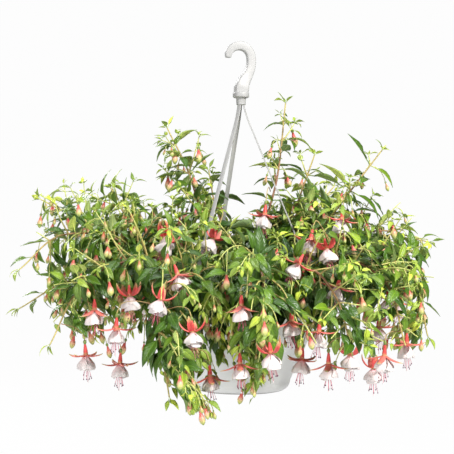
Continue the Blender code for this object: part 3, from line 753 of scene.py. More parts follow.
def leafyStemTree():
    tree, given, output = newTree(
        "leafyStem",
        (
            ("Sides", "NodeSocketInt", 6),
            ("Bark", "NodeSocketMaterial", None),
            ("Leaf Points", "NodeSocketObject", None),
            ("Leaf Kinds", "NodeSocketCollection", None),
            ("Bud Points", "NodeSocketObject", None),
            ("Bud Kinds", "NodeSocketCollection", None),
            ("Smallest", "NodeSocketFloat", 0.88),
            ("Largest", "NodeSocketFloat", 1.12),
            ("Seed", "NodeSocketInt", 1),
        ),
    )
    get = given.outputs
    stems = sweepNodes(tree, get["Geometry"], get["Sides"], get["Bark"])
    limits = get["Smallest"], get["Largest"], get["Seed"]
    leafSet = scatterNodes(tree, get["Leaf Points"], get["Leaf Kinds"], *limits)
    budSet = scatterNodes(tree, get["Bud Points"], get["Bud Kinds"], *limits)
    return sendOut(tree, output, stems, leafSet, budSet)


def hangingFlowerTree():
    tree, given, output = newTree(
        "hangingFlower",
        (
            ("Sides", "NodeSocketInt", 6),
            ("Stalk", "NodeSocketMaterial", None),
            ("Flower", "NodeSocketObject", None),
            ("Place", "NodeSocketVector", None),
            ("Turn", "NodeSocketVector", None),
            ("Size", "NodeSocketFloat", 1.0),
        ),
    )
    get = given.outputs
    stalk = sweepNodes(tree, get["Geometry"], get["Sides"], get["Stalk"])
    inputs = {
        "Geometry": geometryOf(tree, get["Flower"]),
        "Translation": get["Place"],
        "Rotation": rotation(tree, get["Turn"]),
        "Scale": get["Size"],
    }
    flower = addNode(tree, "GeometryNodeTransform", inputs).outputs[0]
    return sendOut(tree, output, stalk, flower)


def crumbTree():
    tree, given, output = newTree(
        "soilCrumbs",
        (
            ("Crumb", "NodeSocketObject", None),
            ("Density", "NodeSocketFloat", 9000.0),
            ("Smallest", "NodeSocketFloat", 0.0007),
            ("Largest", "NodeSocketFloat", 0.0022),
            ("Seed", "NodeSocketInt", 3),
        ),
    )
    get = given.outputs
    inputs = {"Mesh": get["Geometry"], "Density": get["Density"], "Seed": get["Seed"]}
    inputs = {
        "Points": addNode(tree, "GeometryNodeDistributePointsOnFaces", inputs).outputs[0],
        "Instance": geometryOf(tree, get["Crumb"]),
        "Rotation": rotation(tree, chance(tree, (0.0, 0.0, 0.0), (6.28, 6.28, 6.28), get["Seed"], "FLOAT_VECTOR")),
        "Scale": chance(tree, get["Smallest"], get["Largest"], get["Seed"]),
    }
    grains = addNode(tree, "GeometryNodeInstanceOnPoints", inputs).outputs[0]
    real = addNode(tree, "GeometryNodeRealizeInstances", {"Geometry": grains}).outputs[0]
    tree.links.new(real, output.inputs[0])
    return tree


# the plain mesh that a node tree makes of a base object. The base is removed
def grown(name, base, tree, values):
    modifier = base.modifiers.new("grow", "NODES")
    modifier.node_group = tree
    sockets = {item.name: item.identifier for item in tree.interface.items_tree if item.in_out == "INPUT"}
    for label, value in values.items():
        modifier[sockets[label]] = value
    mesh = applied(base)
    mesh.name = name
    return mesh


stemTree, flowerTree, soilTree = leafyStemTree(), hangingFlowerTree(), crumbTree()


# a mesh of loose points, each with its turn, size, age and tint
def pointsObject(name, rows):
    mesh = bpy.data.meshes.new(name)
    mesh.from_pydata([row["place"] for row in rows], [], [])
    for label in ("turn", "size", "age", "tint"):
        kind, field = ("FLOAT_VECTOR", "vector") if label == "turn" else ("FLOAT", "value")
        layer = mesh.attributes.new(label, kind, "POINT")
        for item, row in zip(layer.data, rows):
            setattr(item, field, row[label])
    return objectFrom(name, mesh, workshop)


# a finished piece in the frame
def addPiece(name, mesh, replaced):
    piece = objectFrom(name, mesh, visual)
    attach(piece, "root")
    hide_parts(replaced)
    return piece


# (place, radius, age) all along a line, by thickness(share) and ageing(share)
def threaded(line, thickness, ageing):
    shares = [i / (len(line) - 1) for i in range(len(line))]
    return [(place, thickness(share), ageing(share)) for place, share in zip(line, shares)]


# a mesh of edges, one line for each list of (place, radius, age)
def linesObject(name, lines):
    places, edges, radii, ages = [], [], [], []
    for line in lines:
        first = len(places)
        for place, radius, age in line:
            places.append(place)
            radii.append(radius)
            ages.append(age)
        edges += [(i, i + 1) for i in range(first, len(places) - 1)]
    mesh = bpy.data.meshes.new(name)
    mesh.from_pydata(places, edges, [])
    for label, values in (("radius", radii), ("age", ages)):
        mesh.attributes.new(label, "FLOAT", "POINT").data.foreach_set("value", values)
    return objectFrom(name, mesh, workshop)


# where the flowers hang


# from a flower's solid: its eye, its own axes, and the line of its stalk from the stem down
def readFlower(node):
    bm = bmesh.new()
    bm.from_mesh(frame["nodes"][node].data)
    bmesh.ops.remove_doubles(bm, verts=bm.verts, dist=tiny)
    bm.verts.index_update()
    ring = sorted(bm.verts, key=lambda vert: vert.co.z)[:4]
    rings, seen = [], set()
    while ring:
        rings.append([vert.co.copy() for vert in ring])
        seen.update(ring)
        around = {edge.other_vert(vert) for vert in ring for edge in vert.link_edges} - seen
        ring = sorted(around, key=lambda vert: vert.index)  # the same order on each run
    bm.free()
    middles = [sum(places, Vector()) / len(places) for places in rings]
    down = (middles[0] - middles[1]).normalized()
    eye = middles[0] - down * flowerShape["styleLength"]
    tips = [place - eye for places in rings[5:8] for place in places]
    sideways = [tip - down * tip.dot(down) for tip in tips]
    wide = max(sideways, key=lambda way: way.length).normalized()
    turn = Matrix((wide, wide.cross(down), -down)).transposed().to_euler()
    return eye, turn, middles[:7:-1]


flowerPlaces = [readFlower(f"flower_{number:02d}") for number in range(1, 38)]


# true within a flower, or where it would cover the flower from outside or from the front
def hidesFlower(place):
    for eye, turn, _ in flowerPlaces:
        offset = place - (eye - up * 0.008)
        for way in (Vector((eye.x, eye.y, 0.0)).normalized(), Vector((0.0, -1.0, 0.0))):
            out = offset.dot(way)
            aside = (offset - way * out).length
            if -growth["flowerClearance"] < out < growth["flowerView"] and aside < growth["flowerClearance"]:
                return True
    return False


# the plant

bowlShape = {
    "baseZ": -0.526,
    "rimZ": -0.400,
    "baseRadius": 0.060,
    "baseRound": 0.016,
    "wallTopRadius": 0.1265,
    "rimRadius": 0.1370,
    "rimThickness": 0.0022,
    "lipDrop": 0.007,
    "wall": 0.0020,
    "footHeight": 0.002,
    "strapRadius": 0.1322,
    "slotLength": 0.0095,
    "slotWidth": 0.0034,
    "drainRadius": 0.005,
    "drainCircle": 0.042,
    "drains": 6,
}
soilShape = {
    "top": -0.412,
    "dome": 0.004,
    "radius": 0.1170,
    "sides": 64,
    "rings": (0.985, 0.93, 0.85, 0.74, 0.62, 0.48, 0.34, 0.20, 0.09),
    "lumps": 0.0012,
    "seed": 5,
    "grains": (("crumbs", 9000.0, 0.0007, 0.0022, 3), ("grains", 500.0, 0.0009, 0.0019, 8)),
}
strapAzimuths = (-8.0, -128.0, 112.0)

# each main stem: its foot on the soil, then three places that it passes, the last of them its tip
stemRoutes = (
    ((-0.030, 0.010), (-0.045, 0.020, -0.330), (-0.078, 0.030, -0.200), (-0.116, 0.040, -0.118)),
    ((-0.055, -0.018), (-0.110, -0.020, -0.325), (-0.165, -0.030, -0.275), (-0.198, -0.040, -0.215)),
    ((-0.050, 0.022), (-0.130, 0.045, -0.310), (-0.240, 0.055, -0.270), (-0.318, 0.050, -0.230)),
    ((-0.062, -0.036), (-0.160, -0.080, -0.305), (-0.260, -0.110, -0.285), (-0.322, -0.130, -0.335)),
    ((-0.070, 0.030), (-0.170, 0.065, -0.335), (-0.275, 0.055, -0.360), (-0.348, 0.030, -0.402)),
    ((-0.048, -0.052), (-0.140, -0.140, -0.325), (-0.225, -0.170, -0.355), (-0.272, -0.175, -0.440)),
    ((-0.026, -0.066), (-0.085, -0.165, -0.345), (-0.115, -0.235, -0.400), (-0.100, -0.250, -0.505)),
    ((0.010, -0.070), (0.025, -0.165, -0.340), (0.030, -0.235, -0.360), (0.035, -0.275, -0.420)),
    ((0.018, 0.004), (0.026, 0.012, -0.310), (0.056, 0.016, -0.200), (0.070, 0.020, -0.080)),
    ((0.036, 0.020), (0.056, 0.032, -0.320), (0.088, 0.040, -0.240), (0.117, 0.045, -0.160)),
    ((0.050, 0.008), (0.092, 0.016, -0.325), (0.150, 0.010, -0.245), (0.218, -0.006, -0.155)),
    ((0.064, 0.016), (0.130, 0.030, -0.315), (0.215, 0.040, -0.280), (0.298, 0.040, -0.298)),
    ((0.070, -0.030), (0.160, -0.062, -0.315), (0.248, -0.090, -0.335), (0.274, -0.100, -0.435)),
    ((0.056, -0.050), (0.130, -0.130, -0.325), (0.200, -0.180, -0.350), (0.228, -0.195, -0.440)),
    ((0.034, -0.062), (0.088, -0.165, -0.335), (0.128, -0.225, -0.370), (0.150, -0.240, -0.450)),
    ((-0.036, 0.056), (-0.100, 0.150, -0.315), (-0.180, 0.205, -0.330), (-0.222, 0.230, -0.425)),
    ((0.002, 0.066), (0.000, 0.165, -0.310), (0.010, 0.245, -0.335), (0.002, 0.275, -0.440)),
    ((0.044, 0.052), (0.105, 0.150, -0.315), (0.180, 0.205, -0.330), (0.226, 0.220, -0.425)),
    ((-0.010, 0.036), (-0.022, 0.085, -0.300), (-0.042, 0.125, -0.235), (-0.052, 0.150, -0.180)),
    ((0.024, 0.044), (0.070, 0.100, -0.300), (0.118, 0.140, -0.255), (0.158, 0.165, -0.205)),
)
uprightStems = (0, 8, 9, 10, 18, 19)
weepingStems = {6: 0.95, 7: -0.30}  # and which way their side shoots drift
crownWidths = (
    (-0.150, -0.270, 0.235), (-0.220, -0.320, 0.250), (-0.290, -0.322, 0.292), (-0.330, -0.318, 0.300),
    (-0.400, -0.300, 0.286), (-0.450, -0.280, 0.280), (-0.474, -0.170, 0.255), (-0.486, -0.140, 0.140),
    (-0.500, -0.120, 0.030), (-0.530, -0.100, -0.005),
)
growth = {
    "leafLength": 0.050,
    "mainNodes": (0.020, 0.016),
    "uprightNodes": (0.024, 0.024),
    "mainRadii": (0.0025, 0.0011),
    "shootChance": 0.88,
    "shootLengths": (0.045, 0.105),
    "shootNodes": (0.0150, 0.0090),
    "shootRadii": (0.0013, 0.0007),
    "shootLift": (-9.0, 3.0),
    "weepingLengths": (0.080, 0.140),
    "weepingLift": (-30.0, -11.0),
    "moundTop": -0.205,
    "crownDip": (0.070, 0.050),  # how much lower the mound is between the straps, and over what half-width
    "uprightShoots": {8: 0.45},
    "openAbove": -0.235,
    "droop": (0.25, 1.25),
    "uprightDroop": 0.35,
    "budChance": 0.17,
    "budLengths": (0.013, 0.029),
    "budStalks": (0.014, 0.034),
    "budStalkRadius": 0.0006,
    "flowerClearance": 0.017,
    "flowerView": 0.090,
    "strapClearance": 0.013,
    "thinAbove": -0.300,
    "thinBeyond": 0.150,
    "thinning": 0.32,
    "seed": 40,
}


# places every step along a smooth line through the knots
def splineThrough(knots, step):
    padded = [2 * knots[0] - knots[1], *knots, 2 * knots[-1] - knots[-2]]
    fine = []
    for a, b, c, d in zip(padded, padded[1:], padded[2:], padded[3:]):
        for i in range(24):
            t = i / 24
            bend = 2 * b + (c - a) * t + (2 * a - 5 * b + 4 * c - d) * t**2
            fine.append(0.5 * (bend + (3 * b - a - 3 * c + d) * t**3))
    fine.append(knots[-1])
    return evenly(fine, step)


def evenly(line, step):
    lengths = [0.0]
    for a, b in zip(line, line[1:]):
        lengths.append(lengths[-1] + (b - a).length)
    count = max(2, round(lengths[-1] / step))
    made, here = [], 0
    for i in range(count + 1):
        wanted = lengths[-1] * i / count
        while here < len(line) - 2 and lengths[here + 1] < wanted:
            here += 1
        share = (wanted - lengths[here]) / max(1e-9, lengths[here + 1] - lengths[here])
        made.append(line[here].lerp(line[here + 1], min(1.0, share)))
    return made


def wallRadius(height):
    low = (bowlShape["baseRadius"] + bowlShape["baseRound"], bowlShape["baseZ"] + bowlShape["baseRound"])
    share = (height - low[1]) / (bowlShape["rimZ"] - low[1])
    return low[0] + share * (bowlShape["wallTopRadius"] - low[0])


def soilHeight(x, y):
    return soilShape["top"] + soilShape["dome"] * max(0.0, 1.0 - math.hypot(x, y) / soilShape["radius"])


# the middle line of each strap, as (radius, height) from its neck to the rim
def strapLines():
    route = [(0.0046, -0.078), (0.0047, -0.087), (0.0080, -0.100), (0.0135, -0.115), (0.0215, -0.134), (0.1308, -0.396)]
    made = []
    for azimuth in strapAzimuths:
        turn = Matrix.Rotation(math.radians(azimuth), 3, "Z")
        made.append([turn @ Vector((radius, 0.0, height)) for radius, height in route])
    return made


strapMiddles = strapLines()


def distanceToStraps(place):
    nearest = 1.0
    for line in strapMiddles:
        for a, b in zip(line, line[1:]):
            share = max(0.0, min(1.0, (place - a).dot(b - a) / (b - a).length_squared))
            nearest = min(nearest, (place - a.lerp(b, share)).length)
    return nearest


# the place itself, or the nearest one outside the bowl's wall and rim or above its soil
def clearOfBowl(place):
    away = math.hypot(place.x, place.y)
    rim = bowlShape["rimRadius"] + 0.006
    if place.z > bowlShape["rimZ"] + 0.006 or away > rim:
        return place
    if away > bowlShape["wallTopRadius"] - 0.02 or place.z < soilShape["top"]:
        wanted = rim if place.z > bowlShape["rimZ"] - 0.012 else wallRadius(place.z) + 0.008
        if away < wanted and away > 1e-6:
            return Vector((place.x * wanted / away, place.y * wanted / away, place.z))
        return place
    return Vector((place.x, place.y, max(place.z, soilHeight(place.x, place.y) + 0.004)))


# a little wobble in every direction
def wobble(rng):
    return Vector([rng.uniform(-1, 1) for _ in range(3)])


def between(limits, share):
    return limits[0] + (limits[1] - limits[0]) * share


def insideBox(place, slack):
    return all(low - slack <= value <= high + slack for low, value, high in zip(cadLow, place, cadHigh))


# true inside the plant's box and between the crown's own sides at that height
def insideCrown(place, slack):
    if not insideBox(place, slack):
        return False
    levels = [level for level in crownWidths if level[0] <= place.z] or [crownWidths[-1]]
    low = levels[0]
    high = crownWidths[max(0, crownWidths.index(low) - 1)]
    share = 0.0 if high == low else max(0.0, min(1.0, (place.z - low[0]) / (high[0] - low[0])))
    left, right = (a + (b - a) * share for a, b in zip(low[1:], high[1:]))
    narrowing = math.sqrt(max(0.0, 1.0 - (place.y / 0.36) ** 2))
    return left * narrowing <= place.x <= right * narrowing


# a leaf at a place, pointing its way, with its upper side towards the light
def leafRow(place, way, size, age, rng):
    outward = Vector((place.x, place.y, 0.0)) / 0.30
    light = (up * 0.9 + outward * 0.75 + wobble(rng) * 0.38).normalized()
    normal = (light - way * light.dot(way)).normalized()
    side = way.cross(normal)
    turn = Matrix((side, way, normal)).transposed().to_euler()
    return {"place": place, "turn": turn, "size": size, "age": age, "tint": rng.random()}


def addLeaf(rows, place, way, size, age, rng, inCrown=True, weight=1.0):
    drop = rng.uniform(*growth["droop"]) * (1.0 - 0.6 * age) * (0.5 + size / 0.09) * weight
    way = (way - up * drop).normalized()
    tip = place + way * size * 1.15
    middle = place + way * size * 0.6
    if min(distanceToStraps(tip), distanceToStraps(middle)) < growth["strapClearance"]:
        return
    if (inCrown and not insideCrown(tip, 0.004)) or not insideBox(tip, 0.008):
        return
    if any((clearOfBowl(spot) - spot).length > 1e-6 for spot in (tip, middle)):
        return
    if hidesFlower(tip) or hidesFlower(middle):
        return
    outer = place.z > growth["thinAbove"] and abs(place.x) > growth["thinBeyond"]
    if inCrown and outer and rng.random() < growth["thinning"]:
        return
    rows.append(leafRow(place, way, size, age, rng))


# a bud on a thin stalk that leaves the axil and hangs down
def addBud(rows, lines, place, way, rng):
    reach = rng.uniform(*growth["budStalks"])
    size = between(growth["budLengths"], rng.random() ** 1.5)
    bend = place + way * reach * 0.6
    end = bend + way * reach * 0.2 - up * reach * 0.75
    if distanceToStraps(end) < growth["strapClearance"] or not insideCrown(end - up * size * 0.5, 0.006):
        return
    if hidesFlower(end) or hidesFlower(end - up * size):
        return
    points = [place.lerp(bend, t).lerp(bend.lerp(end, t), t) for t in (0.0, 0.3, 0.6, 0.85, 1.0)]
    lines.append([(point, growth["budStalkRadius"], 0.95) for point in points])
    down = (points[-1] - points[-2]).normalized()
    side = down.orthogonal().normalized()
    turn = Matrix((side, (-down).cross(side), -down)).transposed().to_euler()
    young = max(0.0, min(1.0, 1.25 - size / growth["budLengths"][1] + rng.uniform(-0.15, 0.15)))
    rows.append({"place": end, "turn": turn, "size": size, "age": young, "tint": rng.random()})


# (index, share along the line) of each pair of leaves
def nodeSpots(line, spacing):
    step = (line[1] - line[0]).length
    total = step * (len(line) - 1)
    spots, at = [], spacing[0] * 0.8
    while at < total - spacing[1] * 0.5:
        share = at / total
        spots.append((min(len(line) - 2, int(at / step)), share))
        at += between(spacing, share)
    return spots


# the small leaves that close round the end of a shoot
def addTip(rows, place, way, side, size, rng, inCrown=True):
    for i in range(5):
        turn = Matrix.Rotation(math.radians(90.0 * i + 20.0), 3, way)
        out = (way * (0.55 + 0.25 * i) + turn @ side * 0.75).normalized()
        addLeaf(rows, place, out, size * (1.0 - 0.14 * i), 1.0, rng, inCrown)


# a side shoot with its pairs of leaves, getting smaller, and buds near its end
def growShoot(rows, budRows, lines, start, way, length, liftRate, age, rng, scale, ceiling):
    step = 0.004
    here, heading, line = start.copy(), way.copy(), [start.copy()]
    for _ in range(max(4, int(length / step))):
        heading = (heading + up * liftRate * step + wobble(rng) * 0.06).normalized()
        ahead = clearOfBowl(here + heading * step)
        dip = growth["crownDip"][0] * math.exp(-((ahead.x / growth["crownDip"][1]) ** 2))
        if not insideCrown(ahead, -0.004) or distanceToStraps(ahead) < 0.006 or ahead.z > ceiling - dip:
            break
        here = ahead
        line.append(here)
    if len(line) < 5:
        return
    radii = growth["shootRadii"]
    lines.append(threaded(line, lambda t: between(radii, t), lambda t: min(1.0, age + 0.25 + 0.6 * t)))
    side = heading.cross(up).normalized() if abs(heading.z) < 0.9 else Vector((1.0, 0.0, 0.0))
    for number, (index, share) in enumerate(nodeSpots(line, growth["shootNodes"])):
        along = (line[index + 1] - line[index]).normalized()
        axis = (side if number % 2 == 0 else along.cross(side)).normalized()
        size = growth["leafLength"] * (0.95 - 0.58 * share) * rng.uniform(0.8, 1.15) * scale
        leafAge = min(1.0, age - 0.1 + 0.75 * share**1.5)
        for sign in (1, -1):
            addLeaf(rows, line[index], (axis * sign + along * 0.55).normalized(), size, leafAge, rng)
            if share > 0.35 and rng.random() < growth["budChance"] + 0.25 * share:
                way = (axis * sign + along * 0.8 + up * 0.2).normalized()
                addBud(budRows, lines, line[index], way, rng)
    ending = (line[-1] - line[-2]).normalized()
    addTip(rows, line[-1], ending, side, growth["leafLength"] * 0.36 * scale**0.5, rng)


# everything that grows on one main stem: its lines, leaf rows and bud rows
def growStem(index):
    rng = random.Random(growth["seed"] + index)
    start, *passes = stemRoutes[index]
    foot = Vector((*start, soilHeight(*start) - 0.004))
    line = splineThrough([foot, *map(Vector, passes)], 0.005)
    radii = growth["mainRadii"]
    lines = [threaded(line, lambda t: between(radii, t), lambda t: max(0.0, 1.2 * t - 0.45))]
    outward = line[-1] - foot
    side = up.cross(Vector((outward.x, outward.y, 0.0))).normalized()
    rows, budRows = [], []
    upright, weeping = index in uprightStems, index in weepingStems
    lengths, lifts = (growth[key] for key in (("weepingLengths", "weepingLift") if weeping else ("shootLengths", "shootLift")))
    for number, (at, share) in enumerate(nodeSpots(line, growth["uprightNodes" if upright else "mainNodes"])):
        along = (line[at + 1] - line[at]).normalized()
        level = (side - along * side.dot(along)).normalized()
        axis = level if number % 2 == 0 else along.cross(level)
        size = growth["leafLength"] * (1.10 - (0.30 if upright else 0.60) * share) * rng.uniform(0.85, 1.15)
        for sign in (1, -1):
            out = axis * sign
            if line[at].z > soilShape["top"] + 0.020:
                leafAge, weight = max(0.0, share * 0.9 - 0.25), growth["uprightDroop"] if upright else 1.0
                addLeaf(rows, line[at], (out + along * 0.45).normalized(), size, leafAge, rng, False, weight)
            if upright and line[at].z > growth["openAbove"]:
                if rng.random() < growth["uprightShoots"].get(index, 0.80):
                    way = (out * 0.8 + along * 0.9).normalized()
                    length = rng.uniform(0.020, 0.065) * (1.5 - 1.0 * share) * (1.5 if index == 0 else 1.0)
                    growShoot(rows, budRows, lines, line[at], way, length, 2.0, 0.4, rng, 0.75, 0.0)
            elif share > 0.10 and rng.random() < growth["shootChance"]:
                length = between(lengths, rng.random()) * (1.15 - (0.35 if weeping else 0.55) * share)
                way = out * 0.85 + along * 0.60 + up * rng.uniform(0.0, 0.5)
                way = (way + Vector((weepingStems.get(index, 0.0), 0.0, 0.0))).normalized()
                lift, shootAge = rng.uniform(*lifts), 0.10 + 0.35 * share
                growShoot(rows, budRows, lines, line[at], way, length, lift, shootAge, rng, 1.0, growth["moundTop"])
            if share > 0.55 and rng.random() < (0.35 if upright else 0.25):
                addBud(budRows, lines, line[at], (out + along * 0.6).normalized(), rng)
    addTip(rows, line[-1], (line[-1] - line[-2]).normalized(), side, growth["leafLength"] * 0.42, rng, False)
    return lines, rows, budRows


leafTotal = budTotal = 0
for index in range(len(stemRoutes)):
    lines, rows, budRows = growStem(index)
    name = f"leafyStem{index + 1:02d}"
    leafSpots, budSpots = pointsObject("leafSpots", rows), pointsObject("budSpots", budRows)
    values = {"Sides": 6, "Bark": bark, "Seed": index + 1}
    values.update({"Leaf Points": leafSpots, "Leaf Kinds": leaves, "Bud Points": budSpots, "Bud Kinds": buds})
    mesh = grown(name, linesObject(name, lines), stemTree, values)
    for spots in (leafSpots, budSpots):
        bpy.data.objects.remove(spots)
    addPiece(name, mesh, f"leafy_stem_{index + 1:02d}")
    leafTotal += len(rows)
    budTotal += len(budRows)
print("stems grown", len(stemRoutes), "leaves", leafTotal, "buds", budTotal)


# flowers, each where its own solid hangs

flowerStyles = (
    "ball", "ball", "upswept", "upswept", "upswept", "umbrella", "flat", "flat", "flat", "upswept",
    "umbrella", "umbrella", "flat", "flat", "flat", "upswept", "flat", "umbrella", "umbrella", "flat",
    "upswept", "umbrella", "flat", "flat", "umbrella", "upswept", "umbrella", "flat", "upswept", "flat",
    "flat", "umbrella", "flat", "umbrella", "flat", "umbrella", "flat",
)

stalkShape = {"radius": 0.00062, "swelling": 0.0002, "ages": (0.35, 0.65)}


def stalkRadius(share):
    return stalkShape["radius"] + stalkShape["swelling"] * abs(1 - 2 * share) ** 4


for number, style in enumerate(flowerStyles, 1):
    eye, turn, stalk = flowerPlaces[number - 1]
    line = threaded(splineThrough(stalk, 0.003), stalkRadius, lambda t: between(stalkShape["ages"], t))
    kind, name = flowerKinds[style, number % 2], f"flower{number:02d}"
    values = {"Sides": 6, "Stalk": bark, "Flower": kind, "Place": eye, "Turn": Vector(turn), "Size": 1.0}
    mesh = grown(name, linesObject("stalk", [line]), flowerTree, values)
    addPiece(name, mesh, f"flower_{number:02d}")
print("flowers hung", len(flowerStyles))


# soil


def faceOrder(face):
    numbers = [vert.index for vert in face.verts]
    return max(numbers) * 10000 + min(numbers)


# a face across an open ring of vertices
def closeRing(bm, ring):
    bm.faces.new(sorted(ring, key=lambda vert: math.atan2(vert.co.y, vert.co.x)))


def scaledTo(vert, radius):
    away = math.hypot(vert.co.x, vert.co.y)
    vert.co.x *= radius / away
    vert.co.y *= radius / away


def makeSoil():
    look = soilShape
    bm = bmesh.new()
    bmesh.ops.create_circle(bm, cap_ends=False, segments=look["sides"], radius=look["radius"])
    ring = list(bm.verts)
    rng = random.Random(look["seed"])
    for share in look["rings"]:
        edges = [edge for edge in bm.edges if edge.is_boundary or edge.is_wire]
        edges = [edge for edge in edges if all(vert in ring for vert in edge.verts)]
        ring = extruded(bm, edges)
        for vert in ring:
            scaledTo(vert, share * look["radius"])
    closeRing(bm, ring)
    for vert in bm.verts:
        vert.co.z = soilHeight(vert.co.x, vert.co.y) + rng.uniform(-look["lumps"], look["lumps"])
    low = bowlShape["baseZ"] + bowlShape["footHeight"] + bowlShape["wall"] + 0.004
    wall = extruded(bm, [edge for edge in bm.edges if edge.is_boundary])
    for vert in wall:
        scaledTo(vert, wallRadius(low + 0.006) - bowlShape["wall"] - 0.003)
        vert.co.z = low
    closeRing(bm, wall)
    bm.verts.index_update()
    bm.faces.sort(key=faceOrder)  # the crumbs follow this order, so it is the same on each run
    bmesh.ops.recalc_face_normals(bm, faces=bm.faces)
    ground = meshFrom("soilGround", bm, soilMaterials)
    bm = bmesh.new()
    bm.from_mesh(ground)
    bmesh.ops.delete(bm, geom=[face for face in bm.faces if face.normal.z < 0.5], context="FACES")
    surface = meshFrom("soilSurface", bm)
    bm = bmesh.new()
    bmesh.ops.create_icosphere(bm, subdivisions=1, radius=1.0)
    for vert in bm.verts:
        vert.co *= rng.uniform(0.7, 1.25)
    crumb = objectFrom("crumb", meshFrom("crumb", bm), workshop)
    parts = [ground]
    for slot, (name, density, smallest, largest, seed) in enumerate(look["grains"]):
        values = {"Crumb": crumb, "Density": density, "Smallest": smallest, "Largest": largest, "Seed": seed}
        mesh = grown(name, objectFrom(name, surface.copy(), workshop), soilTree, values)
        mesh.materials.clear()
        for material in soilMaterials:
            mesh.materials.append(material)
        mesh.polygons.foreach_set("material_index", [slot] * len(mesh.polygons))
        parts.append(mesh)
    return smoothed(joined("soil", parts, soilMaterials), 50)


soilMaterials = [pottingSoil(), perliteGrain()]
addPiece("soil", makeSoil(), "soil")
print("soil made")


# bowl


def arcPoints(centre, radius, start, stop, count):
    angles = [math.radians(start + (stop - start) * i / count) for i in range(count + 1)]
    return [(centre[0] + radius * math.cos(a), centre[1] + radius * math.sin(a)) for a in angles]


def makeBowl():
    look = bowlShape
    floor = look["baseZ"] + look["footHeight"] + look["wall"]
    centre = (look["baseRadius"], look["baseZ"] + look["baseRound"])
    top, rim, thick = look["wallTopRadius"], look["rimRadius"], look["rimThickness"]
    inner = [(0.0, floor), (0.020, floor), (look["baseRadius"] - 0.004, floor)]
    inner += arcPoints(centre, look["baseRound"] - look["wall"], -80, 0, 8)
    inner += [(wallRadius(z) - look["wall"], z) for z in (-0.500, -0.470, -0.440, -0.415, -0.4062)]
    inner += arcPoints((top - look["wall"] + 0.0020, look["rimZ"] - 0.0016), 0.0016, 180, 90, 5)
    edge = arcPoints((rim - 0.0012, look["rimZ"] - 0.0012), 0.0012, 90, 0, 5)
    edge += arcPoints((rim - 0.0007, look["rimZ"] - look["lipDrop"] + 0.0007), 0.0007, 0, -180, 6)
    edge += arcPoints((rim - 0.0034, look["rimZ"] - thick - 0.0010), 0.0020, 0, 90, 4)[1:]
    edge += [(top + 0.0020, look["rimZ"] - thick), (top + 0.0004, look["rimZ"] - thick - 0.0010)]
    edge += [(wallRadius(z), z) for z in (-0.412, -0.440, -0.470, -0.500)]
    outer = arcPoints(centre, look["baseRound"], 0, -90, 10)
    foot = [(look["baseRadius"] - 0.0055, look["baseZ"]), (look["baseRadius"] - 0.0075, look["baseZ"] + look["footHeight"])]
    foot += [(0.006, look["baseZ"] + look["footHeight"]), (0.0045, look["baseZ"] + 0.0008), (0.0, look["baseZ"] + 0.0006)]
    mesh = turnedMesh("bowl", inner + edge + outer + foot, 96, [bowlMaterial])
    bowl = objectFrom("bowl", mesh, workshop)
    cutters = []
    for i in range(look["drains"]):
        angle = 2 * math.pi * (i + 0.43) / look["drains"]
        cutter = bmesh.new()
        at = Matrix.Translation((look["drainCircle"] * math.cos(angle), look["drainCircle"] * math.sin(angle), floor))
        radius = look["drainRadius"]
        bmesh.ops.create_cone(cutter, cap_ends=True, segments=24, radius1=radius, radius2=radius, depth=0.02, matrix=at)
        cutters.append(objectFrom("drain", meshFrom("drain", cutter), workshop))
    for azimuth in strapAzimuths:
        cutter = bmesh.new()
        turn = Matrix.Rotation(math.radians(azimuth), 4, "Z")
        size = Matrix.Diagonal((look["slotWidth"], look["slotLength"], 0.02, 1.0))
        at = turn @ Matrix.Translation((look["strapRadius"], 0.0, look["rimZ"]))
        bmesh.ops.create_cube(cutter, size=1.0, matrix=at @ size)
        cutters.append(objectFrom("slot", meshFrom("slot", cutter), workshop))
    for cutter in cutters:
        cut = bowl.modifiers.new("cut", "BOOLEAN")
        cut.operation = "DIFFERENCE"
        cut.solver = "EXACT"
        cut.object = cutter
    return smoothed(applied(bowl), 35)


bowlMaterial = bowlPlastic()
addPiece("bowlShell", makeBowl(), "bowl")
print("bowl made")


# hanger: hook, collar, neck and three straps

hangerShape = {
    "depth": 0.85,
    "corner": 0.34,
    "turn": 15.0,
    "route": (
        (-0.0204, -0.0105, 0.0046), (-0.0200, -0.0050, 0.0054), (-0.0172, 0.0000, 0.0060), (-0.0126, 0.0038, 0.0064),
        (-0.0072, 0.0062, 0.0067), (-0.0012, 0.0069, 0.0069), (0.0050, 0.0055, 0.0069), (0.0103, 0.0018, 0.0068),
        (0.0142, -0.0038, 0.0067), (0.0160, -0.0105, 0.0067), (0.0163, -0.0180, 0.0068), (0.0155, -0.0255, 0.0070),
        (0.0132, -0.0325, 0.0074), (0.0092, -0.0405, 0.0080), (0.0040, -0.0490, 0.0097), (0.0012, -0.0565, 0.0107),
        (0.0004, -0.0625, 0.0105), (0.0000, -0.0700, 0.0104),
    ),
    "collarTop": -0.0650,
    "collarHeight": 0.0090,
    "collarRadius": 0.0128,
    "neckRadius": 0.0076,
    "neckHeight": 0.0110,
    "strapWidth": 0.0068,
    "strapThickness": 0.0017,
    "strapEdge": 0.0004,
    "toggle": (0.0030, 0.0125, 0.0035, 1.0),
    "toggleDrop": 0.00395,
}


# a rectangle with rounded corners, as (across, deep) pairs
def hookSection(half, depth, count=5):
    thick, corner = half * depth, half * hangerShape["corner"]
    made = []
    for a, b, start in ((1, 1, 0), (-1, 1, 90), (-1, -1, 180), (1, -1, 270)):
        centre = (a * (half - corner), b * (thick - corner))
        made += arcPoints(centre, corner, start, start + 90, count - 1)
    return made


